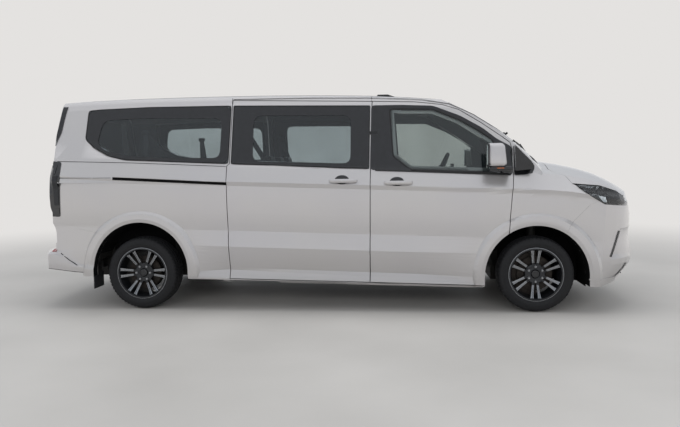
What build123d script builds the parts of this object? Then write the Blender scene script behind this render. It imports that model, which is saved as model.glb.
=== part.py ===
from build123d import *
import os

os.makedirs("parts", exist_ok=True)

# Frame: +X forward, +Y left, +Z up. The origin is on the ground, at the
# middle of the length, on the centreline. Sizes are in millimetres.

# ------------------------------------------------------------- driving sizes
LENGTH = 5450.0
WHEELBASE = 3500.0
FRONT_OVERHANG = 950.0
HALF_WIDTH = 1000.0
FLARE_OUT = 16.0
ROOF_Z = 1968.0
FLOOR_Z = 500.0
FLOOR_THICK = 60.0
WALL = 75.0
ROOF_THICK = 55.0
BONNET_THICK = 40.0
SHUT_GAP = 6.0
SEAM = 0.8
CLEAR = 0.3
GLASS = 5.0
GLASS_SET = 2.0
BELT_Z = 1263.0
BELT_FALL = 0.047
C_PILLAR_X = -890.0
B_PILLAR_X = 358.0
A_SHUT_X = 1583.0
FIREWALL_X = 1500.0
FIREWALL_THICK = 30.0
TYRE_R = 328.0
TYRE_WIDTH = 235.0
TYRE_OUTER_Y = 985.0
RIM_R = 222.0
RIM_WALL = 9.0
ARCH_R = 438.0
WELL_Y = 560.0
REAR_WELL_Y = 640.0
PLATE_WIDTH = 520.0
PLATE_HIGH = 110.0
FRONT_PLATE_Z = 501.0
REAR_PLATE_Z = 855.0

NOSE = LENGTH / 2
TAIL = -LENGTH / 2
FRONT = NOSE - FRONT_OVERHANG
REAR = FRONT - WHEELBASE
TYRE_Y = TYRE_OUTER_Y - TYRE_WIDTH / 2
ARCH_Z = TYRE_R - 12
REAR_ARCH_Z = TYRE_R + 28
OUT = 2 * HALF_WIDTH
CENTRE = -HALF_WIDTH / 5
CAVITY_Y = HALF_WIDTH - WALL
SIDES = ((1, "left"), (-1, "right"))


def belt_z(x):
    """Height of the lower edge of the side glass."""
    return BELT_Z - BELT_FALL * x


def sill_z(x):
    """Height of the lower edge of the doors."""
    return 268 - 0.022 * x


# Flank sections. Columns: station as a share of the length, draw of the side,
# depth of the sill blade, depth of the lower crease, underside height, crease
# draw and height, shoulder draw and height, height on the centreline.
LOWER = [
    (-0.500, 34, 0.0, 0.0, 388, 0, 1235, 52, 1390, 1400),
    (-0.431, 8, 0.0, 0.0, 340, 0, 1206, 50, 1372, 1385),
    (-0.350, 0, 0.0, 0.0, 310, 0, 1185, 50, 1350, 1365),
    (-0.240, 0, 0.0, 0.0, 277, 0, 1166, 50, 1324, 1340),
    (-0.172, 0, 1.0, 1.0, 269, 0, 1154, 50, 1306, 1320),
    (0.140, 0, 1.0, 1.0, 235, 0, 1096, 50, 1226, 1240),
    (0.248, 0, 0.0, 0.0, 223, 0, 1076, 56, 1202, 1240),
    (0.285, 0, 0.0, 0.0, 218, 0, 1069, 66, 1206, 1290),
    (0.321, 2, 0.0, 0.0, 215, 0, 1062, 80, 1204, 1325),
    (0.352, 8, 0.0, 0.0, 221, 0, 1052, 105, 1188, 1306),
    (0.380, 16, 0.0, 0.0, 226, 4, 1038, 132, 1168, 1280),
    (0.410, 29, 0.0, 0.0, 208, 10, 1012, 160, 1136, 1242),
    (0.437, 46, 0.0, 0.0, 180, 18, 975, 190, 1094, 1194),
    (0.460, 66, 0.0, 0.0, 160, 32, 925, 222, 1038, 1132),
    (0.480, 90, 0.0, 0.0, 152, 50, 866, 255, 970, 1058),
    (0.500, 120, 0.0, 0.0, 150, 72, 796, 300, 880, 958),
]

# Cabin sections. Columns: station, draw at the belt, draw and drop of the
# glass top, draw and drop of the gutter, draw and drop of the roof edge, and
# drop of the centreline; drops are measured below the roof height.
UPPER = [
    (-0.500, 85, 200, 168, 214, 138, 285, 88, 62),
    (-0.465, 73, 193, 158, 207, 128, 277, 74, 38),
    (-0.422, 64, 188, 148, 202, 118, 272, 62, 20),
    (-0.350, 57, 186, 137, 200, 107, 269, 51, 9),
    (-0.275, 54, 185, 130, 199, 102, 267, 46, 2),
    (-0.190, 54, 185, 130, 199, 102, 267, 44, 0),
    (-0.110, 54, 185, 133, 199, 104, 267, 45, 1),
    (-0.020, 54, 186, 140, 200, 111, 268, 53, 9),
    (0.055, 54, 188, 149, 202, 120, 270, 64, 22),
    (0.115, 55, 191, 162, 206, 134, 274, 81, 42),
    (0.165, 56, 195, 178, 210, 150, 278, 102, 65),
    (0.220, 60, 200, 202, 215, 174, 283, 126, 90),
    (0.275, 66, 205, 228, 220, 200, 288, 152, 118),
    (0.385, 100, 215, 288, 230, 268, 300, 228, 193),
]


# ----------------------------------------------------------------- body form
def lower_form():
    """Left flank from the sill to the shoulder and the centreline."""
    with BuildPart() as form:
        for share, draw, blade, flank, z0, crease, zc, shoulder, zs, zt in LOWER:
            x = share * LENGTH
            side = HALF_WIDTH - draw
            z_mid = 690 - 0.029 * x
            y_top = side - crease
            with BuildSketch(Plane.YZ.offset(x)):
                with BuildLine():
                    Polyline(
                        (0, zt),
                        (0, z0),
                        (side - 15, z0),
                        (side, z0 + 8),
                        (side, z0 + 20),
                        (side - 38 * blade, z0 + 50 + 45 * blade),
                        (side - 10 + 14 * flank, z_mid - 141),
                        (side - 16, z_mid),
                    )
                    ThreePointArc(
                        (side - 16, z_mid),
                        (y_top - 6, (z_mid + zc - 38) / 2 + 60),
                        (y_top - 11, zc - 38),
                    )
                    Polyline((y_top - 11, zc - 38), (y_top, zc), (side - shoulder, zs))
                    ThreePointArc(
                        (side - shoulder, zs),
                        (HALF_WIDTH / 2, zs + 0.72 * (zt - zs)),
                        (0, zt),
                    )
                make_face()
        loft(ruled=True)
    return form.part


def upper_form():
    """Left half of the cabin from below the belt to the roof."""
    foot = BELT_Z - 110
    with BuildPart() as form:
        for share, belt, glass, glass_drop, gutter, gutter_drop, edge, edge_drop, drop in UPPER:
            x = share * LENGTH
            y_belt = HALF_WIDTH - belt
            y_glass = HALF_WIDTH - glass
            y_gutter = HALF_WIDTH - gutter
            y_edge = HALF_WIDTH - edge
            z_glass = ROOF_Z - glass_drop
            z_gutter = ROOF_Z - gutter_drop
            z_edge = ROOF_Z - edge_drop
            lean = (y_belt - y_glass) / (z_glass - belt_z(x))
            y_foot = y_belt + lean * (belt_z(x) - foot)
            z_top = ROOF_Z - drop
            with BuildSketch(Plane.YZ.offset(x)):
                with BuildLine():
                    Polyline((0, z_top), (0, foot), (y_foot, foot), (y_glass, z_glass), (y_gutter, z_gutter))
                    ThreePointArc(
                        (y_gutter, z_gutter),
                        ((y_gutter + y_edge) / 2 + 12, (z_gutter + z_edge) / 2 + 8),
                        (y_edge, z_edge),
                    )
                    ThreePointArc(
                        (y_edge, z_edge),
                        (y_edge / 2, z_edge + 0.75 * (z_top - z_edge)),
                        (0, z_top),
                    )
                make_face()
        loft(ruled=True)
    return form.part


SCREEN_WRAP = 170.0
TAIL_WRAP = 125.0
BUMPER_WRAP = 85.0
NOSE_WRAP = 60.0
SCREEN_TOP = (1055.0, ROOF_Z - 98)
SCREEN_MID = (1505.0, ROOF_Z - 330)
SCREEN_FOOT = (1985.0, ROOF_Z - 758)
TAIL_FOOT = (40.0, 610.0)
TAIL_MID = (50.0, 1200.0)
TAIL_TOP = (128.0, ROOF_Z - 118)
WRAP_YS = (0, 250, 450, 620, 770, 900, 1020)


def wrap(y):
    """How far an outline is bent back at y, as a share of its full bend."""
    return (y / 950) ** 2


def profile_form(cabin_only=False):
    """Side outline of tail and windscreen, and of the nose, bent round in plan."""
    with BuildPart() as form:
        for y in WRAP_YS:
            tail = TAIL + TAIL_WRAP * wrap(y)
            rear = TAIL + BUMPER_WRAP * wrap(y)
            nose = NOSE - NOSE_WRAP * wrap(y)
            screen = -SCREEN_WRAP * wrap(y)
            with BuildSketch(Plane.XZ.offset(-y)):
                with BuildLine():
                    Polyline(
                        (tail + 300, 0),
                        (rear + 60, 330),
                        (rear + 5, 430),
                        (rear, 500),
                        (rear + 10, 570),
                        (tail + TAIL_FOOT[0], TAIL_FOOT[1]),
                    )
                    ThreePointArc(
                        (tail + TAIL_FOOT[0], TAIL_FOOT[1]),
                        (tail + TAIL_MID[0], TAIL_MID[1]),
                        (tail + TAIL_TOP[0], TAIL_TOP[1]),
                    )
                    Polyline(
                        (tail + TAIL_TOP[0], TAIL_TOP[1]),
                        (tail + 150, ROOF_Z - 43),
                        (tail + 230, ROOF_Z + 260),
                        (SCREEN_TOP[0] + screen - 120, ROOF_Z + 260),
                    )
                    if cabin_only:
                        Line(
                            (SCREEN_TOP[0] + screen - 120, ROOF_Z + 260),
                            (SCREEN_TOP[0] + screen, SCREEN_TOP[1]),
                        )
                        ThreePointArc(
                            (SCREEN_TOP[0] + screen, SCREEN_TOP[1]),
                            (SCREEN_MID[0] + screen, SCREEN_MID[1]),
                            (SCREEN_FOOT[0] + screen, SCREEN_FOOT[1]),
                        )
                        Polyline(
                            (SCREEN_FOOT[0] + screen, SCREEN_FOOT[1]),
                            (SCREEN_FOOT[0] + screen, 0),
                            (tail + 300, 0),
                        )
                    else:
                        Polyline(
                            (SCREEN_TOP[0] + screen - 120, ROOF_Z + 260),
                            (nose - 150, ROOF_Z + 260),
                            (nose - 62, 1030),
                        )
                        ThreePointArc((nose - 62, 1030), (nose - 8, 820), (nose - 12, 560))
                        Polyline(
                            (nose - 12, 560),
                            (nose, 340),
                            (nose - 10, 230),
                            (nose - 60, 150),
                            (nose - 300, 0),
                            (tail + 300, 0),
                        )
                make_face()
        loft(ruled=True)
    return form.part


def plan_form():
    """Left half of the plan outline, with rounded nose and tail corners."""
    half = HALF_WIDTH
    with BuildPart() as form:
        with BuildSketch(Plane.XY):
            with BuildLine():
                Polyline(
                    (NOSE + 12, 0),
                    (TAIL - 60, 0),
                    (TAIL - 60, half - 420),
                    (TAIL + 112, half - 125),
                )
                ThreePointArc(
                    (TAIL + 112, half - 125),
                    (TAIL + 148, half - 50),
                    (TAIL + 235, half + 40),
                )
                Line((TAIL + 235, half + 40), (NOSE - 560, half + 40))
                ThreePointArc(
                    (NOSE - 560, half + 40),
                    (NOSE - 395, half - 50),
                    (NOSE - 250, half - 150),
                )
                ThreePointArc(
                    (NOSE - 250, half - 150),
                    (NOSE - 85, half - 345),
                    (NOSE, half - 760),
                )
                Line((NOSE, half - 760), (NOSE + 12, 0))
            make_face()
        extrude(amount=ROOF_Z + 200)
    return form.part


def flare(x, z):
    """Raised lip round a wheel arch, turned about the wheel's axis."""
    lip_z = z + ARCH_R
    lip_y = HALF_WIDTH + FLARE_OUT
    with BuildPart() as lip:
        with BuildSketch(Plane.YZ.offset(x)):
            with BuildLine():
                Polyline(
                    (0.9 * HALF_WIDTH, lip_z - 20),
                    (lip_y - 12, lip_z - 20),
                    (lip_y, lip_z + 30),
                    (lip_y - 4, lip_z + 84),
                    (lip_y - 40, lip_z + 116),
                    (0.9 * HALF_WIDTH, lip_z + 116),
                    close=True,
                )
            make_face()
        revolve(axis=Axis((x, 0, z), (0, 1, 0)), revolution_arc=360)
        with Locations((x, HALF_WIDTH, sill_z(x) - HALF_WIDTH)):
            Box(4 * ARCH_R, OUT, OUT, mode=Mode.SUBTRACT)
    return lip.part


def arch_well(x, z, inner_y):
    """Space of a left wheel, open below and outwards."""
    with BuildPart() as well:
        with BuildSketch(Plane.XZ.offset(-inner_y)):
            with Locations((x, z)):
                Circle(ARCH_R)
            with Locations((x, z - ARCH_R)):
                Rectangle(2 * ARCH_R, 2 * ARCH_R)
        extrude(amount=inner_y - OUT)
    return well.part


def side_prism(points, inner_y, grow=0.0):
    """Solid behind an outline drawn in side view, from inner_y outwards."""
    with BuildPart() as prism:
        with BuildSketch(Plane.XZ.offset(-inner_y)):
            with BuildLine():
                Polyline(*points, close=True)
            make_face()
            if grow:
                offset(amount=grow, kind=Kind.INTERSECTION)
        extrude(amount=inner_y - OUT)
    return prism.part


def end_prism(points, start_x, length, grow=0.0):
    """Solid ahead of an outline drawn in end view, from start_x forwards."""
    with BuildPart() as prism:
        with BuildSketch(Plane.YZ.offset(start_x)):
            with BuildLine():
                Polyline(*points, close=True)
            make_face()
            if grow:
                offset(amount=grow, kind=Kind.INTERSECTION)
        extrude(amount=length)
    return prism.part


def block(low, high):
    """A block between two opposite corners."""
    with BuildPart() as piece:
        with Locations(tuple((a + b) / 2 for a, b in zip(low, high))):
            Box(*(b - a for a, b in zip(low, high)))
    return piece.part


def cabin_cavity():
    """Left half of the space for passengers and luggage."""
    belt_y = CAVITY_Y - 50
    roof_y = HALF_WIDTH - 260
    with BuildPart() as cavity:
        with BuildSketch(Plane.YZ.offset(TAIL)):
            with BuildLine():
                Polyline(
                    (0, FLOOR_Z),
                    (CAVITY_Y, FLOOR_Z),
                    (CAVITY_Y, BELT_Z - 130),
                    (belt_y, BELT_Z + 30),
                    (roof_y, ROOF_Z - 130 - ROOF_THICK),
                    (roof_y - 70, ROOF_Z - 50 - ROOF_THICK),
                    (0, ROOF_Z - ROOF_THICK),
                    close=True,
                )
            make_face()
        extrude(amount=LENGTH)
        with BuildSketch(Plane.XZ):
            with BuildLine():
                Polyline(
                    (TAIL, FLOOR_Z - 10),
                    (FIREWALL_X, FLOOR_Z - 10),
                    (FIREWALL_X, BELT_Z - 130),
                    (FIREWALL_X + 180, BELT_Z - 60),
                    (FIREWALL_X + 180, BELT_Z + 20),
                    (SCREEN_TOP[0] - 230, ROOF_Z - 120),
                    (SCREEN_TOP[0] - 500, ROOF_Z + 10),
                    (TAIL, ROOF_Z + 10),
                    close=True,
                )
            make_face()
        extrude(amount=-OUT, mode=Mode.INTERSECT)
        with BuildSketch(Plane.XY):
            with BuildLine():
                Polyline(
                    (NOSE, 0),
                    (TAIL + 150, 0),
                    (TAIL + 172, 450),
                    (TAIL + 240, 800),
                    (TAIL + 300, OUT),
                    (NOSE, OUT),
                    close=True,
                )
            make_face()
        extrude(amount=OUT, mode=Mode.INTERSECT)
        house = block(
            (REAR - ARCH_R - 20, REAR_WELL_Y - 25, 0),
            (REAR + ARCH_R + 20, OUT, REAR_ARCH_Z + ARCH_R + 25),
        )
        add(house, mode=Mode.SUBTRACT)
        front_house = block(
            (FRONT - ARCH_R - 25, WELL_Y - 25, 0),
            (FRONT + ARCH_R, OUT, ARCH_Z + ARCH_R + 25),
        )
        add(front_house, mode=Mode.SUBTRACT)
    return cavity.part


def engine_bay():
    """Left half of the space under the bonnet, open below."""
    with BuildPart() as bay:
        with BuildSketch(Plane.XZ):
            with BuildLine():
                Polyline(
                    (FIREWALL_X + FIREWALL_THICK, 0),
                    (FIREWALL_X + FIREWALL_THICK, BELT_Z - 180),
                    (FIREWALL_X + 330, BELT_Z - 20 - BONNET_THICK),
                    (NOSE - 790, BELT_Z + 2 - BONNET_THICK),
                    (NOSE - 654, BELT_Z - 28 - BONNET_THICK),
                    (NOSE - 343, BELT_Z - 113 - BONNET_THICK),
                    (NOSE - 218, BELT_Z - 173 - BONNET_THICK),
                    (NOSE - 150, BELT_Z - 238 - BONNET_THICK),
                    (NOSE - 150, BELT_Z - 420),
                    (NOSE - 150, 0),
                    close=True,
                )
            make_face()
        extrude(amount=-(WELL_Y - 20))
    return bay.part


def wing_space():
    """Hollow behind the left wing and the front corner of the bumper."""
    house_top = ARCH_Z + ARCH_R + 30
    with BuildPart() as space:
        with BuildSketch(Plane.XZ.offset(-(WELL_Y - 21))):
            with BuildLine():
                Polyline(
                    (A_SHUT_X + 45, house_top),
                    (A_SHUT_X + 45, BELT_Z - 205),
                    (NOSE - 625, BELT_Z - 250),
                    (NOSE - 375, BELT_Z - 335),
                    (NOSE - 245, BELT_Z - 420),
                    (NOSE - 245, 260),
                    (FRONT + ARCH_R + 30, 260),
                    (FRONT + ARCH_R + 30, house_top),
                    close=True,
                )
            make_face()
        extrude(amount=WELL_Y - 21 - OUT)
        with BuildSketch(Plane.XY):
            with BuildLine():
                Polyline(
                    (A_SHUT_X, 0),
                    (A_SHUT_X, CAVITY_Y),
                    (NOSE - 640, CAVITY_Y - 20),
                    (NOSE - 400, CAVITY_Y - 95),
                    (NOSE - 245, CAVITY_Y - 210),
                    (NOSE - 150, 0),
                    close=True,
                )
            make_face()
        extrude(amount=OUT, mode=Mode.INTERSECT)
    return space.part


def side_band(near, far):
    """Layer of the left cabin side between two depths."""
    foot = BELT_Z - 110
    with BuildPart() as band:
        for share, belt, glass, glass_drop, gutter, gutter_drop, edge, edge_drop, drop in UPPER:
            x = share * LENGTH
            y_belt = HALF_WIDTH - belt
            y_glass = HALF_WIDTH - glass
            z_glass = ROOF_Z - glass_drop
            lean = (y_belt - y_glass) / (z_glass - belt_z(x))
            y_foot = y_belt + lean * (belt_z(x) - foot)
            with BuildSketch(Plane.YZ.offset(x)):
                with BuildLine():
                    Polyline(
                        (y_foot - near, foot),
                        (y_glass - near, z_glass),
                        (y_glass - far, z_glass),
                        (y_foot - far, foot),
                        close=True,
                    )
                make_face()
        loft(ruled=True)
    return band.part


def arc_band(points, fold, near, far, normal):
    """Layer behind a bent screen, given its three points in side view."""
    with BuildPart() as band:
        for y in WRAP_YS:
            with BuildSketch(Plane.XZ.offset(-y)):
                with BuildLine():
                    front = [(px + fold * wrap(y) + near * normal[0], pz + near * normal[1]) for px, pz in points]
                    back = [(px + fold * wrap(y) + far * normal[0], pz + far * normal[1]) for px, pz in points]
                    ThreePointArc(*front)
                    Line(front[2], back[2])
                    ThreePointArc(*back)
                    Line(back[0], front[0])
                make_face()
        loft(ruled=True)
    return band.part


# ---------------------------------------------------------------- outlines
# Side outlines, in x and z, for the left side.
DOOR_TOP_REAR = ROOF_Z - 84
DOOR_TOP_FRONT = ROOF_Z - 119
B_LINE = [(B_PILLAR_X + 12, DOOR_TOP_FRONT), (B_PILLAR_X, BELT_Z - 16), (B_PILLAR_X - 10, sill_z(B_PILLAR_X))]
SLIDE_OUTLINE = [
    (C_PILLAR_X, DOOR_TOP_REAR),
    *B_LINE,
    (C_PILLAR_X - 13, sill_z(C_PILLAR_X)),
    (C_PILLAR_X - 28, BELT_Z - 281),
    (C_PILLAR_X - 31, BELT_Z + 28),
    (C_PILLAR_X - 9, BELT_Z + 48),
]
DOOR_OUTLINE = [
    B_LINE[2],
    B_LINE[1],
    B_LINE[0],
    (A_SHUT_X - 834, ROOF_Z - 130),
    (A_SHUT_X - 596, ROOF_Z - 159),
    (A_SHUT_X - 455, ROOF_Z - 205),
    (A_SHUT_X - 267, ROOF_Z - 322),
    (A_SHUT_X - 82, ROOF_Z - 453),
    (A_SHUT_X - 19, ROOF_Z - 502),
    (A_SHUT_X - 4, ROOF_Z - 559),
    (A_SHUT_X, BELT_Z - 91),
    (A_SHUT_X - 13, BELT_Z - 218),
    (A_SHUT_X - 43, TYRE_R + 364),
    (A_SHUT_X - 53, TYRE_R + 232),
    (A_SHUT_X - 83, sill_z(A_SHUT_X)),
]
WING_OUTLINE = [
    (A_SHUT_X - 53, TYRE_R + 232),
    (A_SHUT_X - 43, TYRE_R + 364),
    (A_SHUT_X - 13, BELT_Z - 218),
    (A_SHUT_X, BELT_Z - 91),
    (A_SHUT_X - 2, BELT_Z + 22),
    (NOSE - 700, BELT_Z + 22),
    (NOSE - 400, BELT_Z - 60),
    (NOSE - 400, BELT_Z - 300),
    (NOSE - 500, BELT_Z - 334),
    (NOSE - 628, BELT_Z - 459),
    (NOSE - 680, BELT_Z - 513),
    (NOSE - 760, TYRE_R + 232),
]
LAMP_OUTLINE = [
    (NOSE - 634, BELT_Z - 158),
    (NOSE - 391, BELT_Z - 180),
    (NOSE - 227, BELT_Z - 232),
    (NOSE - 128, BELT_Z - 300),
    (NOSE - 60, BELT_Z - 335),
    (NOSE - 90, BELT_Z - 362),
    (NOSE - 207, BELT_Z - 352),
    (NOSE - 379, BELT_Z - 335),
    (NOSE - 504, BELT_Z - 261),
]
FRONT_OUTLINE = [
    (NOSE - 790, 0),
    (NOSE - 760, TYRE_R + 232),
    (NOSE - 680, BELT_Z - 513),
    (NOSE - 628, BELT_Z - 459),
    (NOSE - 500, BELT_Z - 334),
    (NOSE - 400, BELT_Z - 300),
    (NOSE - 300, BELT_Z - 160),
    (NOSE + 50, BELT_Z - 160),
    (NOSE + 50, 0),
]
BUMPER_TOP_Z = 585.0
REAR_OUTLINE = [
    (TAIL - 50, 0),
    (REAR - ARCH_R - 40, 0),
    (REAR - ARCH_R + 30, TYRE_R + 172),
    (TAIL + 685, BUMPER_TOP_Z + 95),
    (TAIL + 440, BUMPER_TOP_Z + 146),
    (TAIL + 110, BUMPER_TOP_Z + 205),
    (TAIL - 50, BUMPER_TOP_Z + 205),
]
QUARTER_GLASS = [
    (C_PILLAR_X - 1354, ROOF_Z - 156),
    (C_PILLAR_X - 1250, ROOF_Z - 147),
    (C_PILLAR_X - 773, ROOF_Z - 134),
    (C_PILLAR_X - 14, ROOF_Z - 136),
    (C_PILLAR_X - 22, BELT_Z + 52),
    (C_PILLAR_X - 400, BELT_Z + 68),
    (C_PILLAR_X - 985, BELT_Z + 98),
    (C_PILLAR_X - 1121, BELT_Z + 131),
    (C_PILLAR_X - 1270, BELT_Z + 210),
    (C_PILLAR_X - 1362, BELT_Z + 285),
]
SLIDE_GLASS = [
    (C_PILLAR_X + 14, ROOF_Z - 137),
    (B_PILLAR_X - 8, ROOF_Z - 160),
    (B_PILLAR_X - 14, BELT_Z - 8),
    (C_PILLAR_X + 8, BELT_Z + 50),
]
DOOR_GLASS = [
    (B_PILLAR_X + 170, ROOF_Z - 194),
    (A_SHUT_X - 682, ROOF_Z - 202),
    (A_SHUT_X - 457, ROOF_Z - 296),
    (A_SHUT_X - 272, ROOF_Z - 404),
    (A_SHUT_X - 160, ROOF_Z - 488),
    (A_SHUT_X - 130, BELT_Z - 50),
    (B_PILLAR_X + 350, BELT_Z - 20),
    (B_PILLAR_X + 200, BELT_Z + 95),
]
# End outlines, in y and z, for the left half.
SCREEN_GLASS = [(CENTRE, ROOF_Z - 118), (640, ROOF_Z - 128), (765, ROOF_Z - 630), (CENTRE, ROOF_Z - 612)]
TAILGATE_OUTLINE = [
    (CENTRE, BUMPER_TOP_Z),
    (790, BUMPER_TOP_Z),
    (815, BELT_Z - 350),
    (815, BELT_Z + 90),
    (720, ROOF_Z - 100),
    (720, ROOF_Z + 60),
    (CENTRE, ROOF_Z + 60),
]
TAILGATE_GLASS = [
    (CENTRE, BELT_Z + 105),
    (730, BELT_Z + 105),
    (640, ROOF_Z - 150),
    (CENTRE, ROOF_Z - 135),
]
GRILLE_OUTLINE = [(CENTRE, 560), (400, 575), (455, 690), (430, 850), (CENTRE, 875)]
INTAKE_OUTLINE = [(CENTRE, 270), (560, 270), (610, 350), (560, 430), (CENTRE, 440)]
# Outline of the bonnet's left half, in x, y and the height of its surface.
BONNET_REAR_X = NOSE - 800
BONNET_OUTLINE = [
    (BONNET_REAR_X, CENTRE, BELT_Z + 43),
    (BONNET_REAR_X, 730, BELT_Z - 15),
    (BONNET_REAR_X + 22, 790, BELT_Z - 27),
    (NOSE - 632, 912, BELT_Z - 145),
    (NOSE - 480, 900, BELT_Z - 185),
    (NOSE - 275, 815, BELT_Z - 235),
    (NOSE - 150, 690, BELT_Z - 280),
    (NOSE - 72, 400, BELT_Z - 265),
    (NOSE - 62, CENTRE, BELT_Z - 255),
]
BONNET_SLANT = 0.6
TAILGATE_HINGE_X = TAIL + 245

HALF_GAP = SHUT_GAP / 2
HALF_SEAM = SEAM / 2
TAIL_GAP = 5.0
HINGE_OUT = 10.0

# ------------------------------------------------------------ body and panels
profile = profile_form()
well_front = arch_well(FRONT, ARCH_Z, WELL_Y)
well_rear = arch_well(REAR, REAR_ARCH_Z, REAR_WELL_Y)
lower = lower_form()
upper = upper_form()
plan = plan_form()
with BuildPart() as flanks:
    add(lower)
    add(plan, mode=Mode.INTERSECT, clean=False)
    add(profile, mode=Mode.INTERSECT, clean=False)
with BuildPart() as cabin:
    add(upper)
    add(profile_form(cabin_only=True), mode=Mode.INTERSECT, clean=False)

SCREEN_ARC = (SCREEN_TOP, SCREEN_MID, SCREEN_FOOT)
SCREEN_NORMAL = (-0.57, -0.82)
TAIL_ARC = tuple((TAIL + px, pz) for px, pz in (TAIL_FOOT, TAIL_MID, TAIL_TOP))
REBATE = GLASS_SET + GLASS + CLEAR
RIM_LAND = 32.0
side_rebate = side_band(-60, REBATE)
screen_rebate = arc_band(SCREEN_ARC, -SCREEN_WRAP, -60, REBATE, SCREEN_NORMAL)
tail_rebate = arc_band(TAIL_ARC, TAIL_WRAP, -60, REBATE, (1, 0))

with BuildPart() as rebates:
    for outline in (QUARTER_GLASS, SLIDE_GLASS, DOOR_GLASS):
        add(side_prism(outline, 500))
    add(side_rebate, mode=Mode.INTERSECT)
with BuildPart() as screen_cut:
    add(end_prism(SCREEN_GLASS, 700, NOSE - 700))
    add(screen_rebate, mode=Mode.INTERSECT)
with BuildPart() as tail_cut:
    add(end_prism(TAILGATE_GLASS, TAIL - 50, 300))
    add(tail_rebate, mode=Mode.INTERSECT)
with BuildPart() as openings:
    for outline in (QUARTER_GLASS, SLIDE_GLASS, DOOR_GLASS):
        add(side_prism(outline, 600, -RIM_LAND))
    add(end_prism(SCREEN_GLASS, 780, NOSE - 780, -RIM_LAND))
    add(end_prism(TAILGATE_GLASS, TAIL - 50, 300, -RIM_LAND))

with BuildPart() as body:
    add(flanks.part)
    add(cabin.part, clean=False)
    add(flare(FRONT, ARCH_Z), clean=False)
    add(flare(REAR, REAR_ARCH_Z), clean=False)
    add(well_front, mode=Mode.SUBTRACT, clean=False)
    add(well_rear, mode=Mode.SUBTRACT, clean=False)
    add(cabin_cavity(), mode=Mode.SUBTRACT, clean=False)
    add(engine_bay(), mode=Mode.SUBTRACT, clean=False)
    add(wing_space(), mode=Mode.SUBTRACT, clean=False)
    add(rebates.part, mode=Mode.SUBTRACT, clean=False)
    add(screen_cut.part, mode=Mode.SUBTRACT, clean=False)
    add(tail_cut.part, mode=Mode.SUBTRACT, clean=False)
    add(openings.part, mode=Mode.SUBTRACT, clean=False)


def bonnet_zone(grow):
    """Slanted column under the bonnet; its sides follow the first lift."""
    base = BELT_Z - 360
    with BuildPart() as zone:
        with BuildSketch(Plane.XY.offset(base)):
            with BuildLine():
                points = [(x - BONNET_SLANT * (z - base), y) for x, y, z in BONNET_OUTLINE]
                Polyline(*points, close=True)
            make_face()
            offset(amount=grow, kind=Kind.INTERSECTION)
        extrude(amount=HALF_WIDTH, dir=(BONNET_SLANT, 0, 1))
    return zone.part


def wall_zone(gap):
    """Everything outboard of the inner faces of the doors."""
    points = [
        (CAVITY_Y + gap, 0),
        (CAVITY_Y + gap, FLOOR_Z + 25 + gap),
        (CAVITY_Y - 75 + gap, FLOOR_Z + 25 + gap),
        (CAVITY_Y - 75 + gap, BELT_Z - 10),
        (CAVITY_Y - 235 + gap, ROOF_Z - 150),
        (CAVITY_Y - 285 + gap, ROOF_Z + 50),
        (OUT, ROOF_Z + 50),
        (OUT, 0),
    ]
    return end_prism(points, TAIL - 100, LENGTH + 200)


def door_zone(outline, gap, grow):
    """Side outline of a door, limited to the wall."""
    with BuildPart() as zone:
        add(side_prism(outline, 500, grow))
        add(wall_zone(gap), mode=Mode.INTERSECT)
    return zone.part


def wing_zone(grow):
    """Side outline of a front wing, clear of the hinge pillar behind it."""
    pillar = block(
        (A_SHUT_X - 200, 0, 0),
        (A_SHUT_X + 45 - grow, CAVITY_Y - 20 - grow, BELT_Z - 110 - grow),
    )
    with BuildPart() as zone:
        add(side_prism(WING_OUTLINE, 745 - grow, grow))
        add(pillar, mode=Mode.SUBTRACT)
    return zone.part


def hinge_sweep():
    """Room for a front door's rear edge as it turns about its hinge line."""
    hinge_x = A_SHUT_X
    hinge_y = HALF_WIDTH + HINGE_OUT
    reach = []
    for (x, z), y in zip(
        (B_LINE[2], B_LINE[1], ((B_LINE[0][0] + B_LINE[1][0]) / 2, 1550), B_LINE[0]),
        (HALF_WIDTH, HALF_WIDTH - 54, HALF_WIDTH - 120, HALF_WIDTH - 200),
    ):
        reach.append((((hinge_x - x - HALF_GAP) ** 2 + (hinge_y - y) ** 2) ** 0.5 - 1.5, z))
    with BuildPart() as room:
        with BuildSketch(Plane.XZ.offset(-hinge_y)):
            with Locations((hinge_x, 0)):
                with BuildLine():
                    Polyline(
                        (hinge_x, 0),
                        (hinge_x + reach[0][0], 0),
                        *[(hinge_x + r, z) for r, z in reach],
                        (hinge_x + reach[3][0], ROOF_Z),
                        (hinge_x, ROOF_Z),
                        close=True,
                    )
                make_face()
        revolve(axis=Axis((hinge_x, hinge_y, 0), (0, 0, 1)), revolution_arc=360)
    return room.part


def lamp_zone(grow):
    """Side outline of a headlamp."""
    return side_prism(LAMP_OUTLINE, 480 - grow, grow)


def tail_lamp_zone(grow):
    """Rear corner taken up by a tail lamp."""
    points = [
        (TAIL - 50, BELT_Z + 94),
        (TAIL + 234, BELT_Z + 88),
        (TAIL + 217, BELT_Z - 415),
        (TAIL - 50, BELT_Z - 415),
    ]
    return side_prism(points, 790 - grow, grow)


def tailgate_zone(grow):
    """End outline of the tailgate back to its hinge line."""
    return end_prism(TAILGATE_OUTLINE, TAIL - 100, TAILGATE_HINGE_X - TAIL + 100 + grow, grow)


def front_zone(grow):
    """Nose below the bonnet and ahead of the wings."""
    arch_edge = FRONT + ARCH_R + 5
    with BuildPart() as zone:
        add(side_prism(FRONT_OUTLINE, HALF_WIDTH - 140 - grow, grow))
        add(side_prism(FRONT_OUTLINE, CENTRE, grow))
        with Locations((arch_edge - grow - OUT, 0, 0)):
            Box(2 * OUT, 2 * (HALF_WIDTH - 140 - grow), 2 * OUT, mode=Mode.SUBTRACT)
    return zone.part


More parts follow.
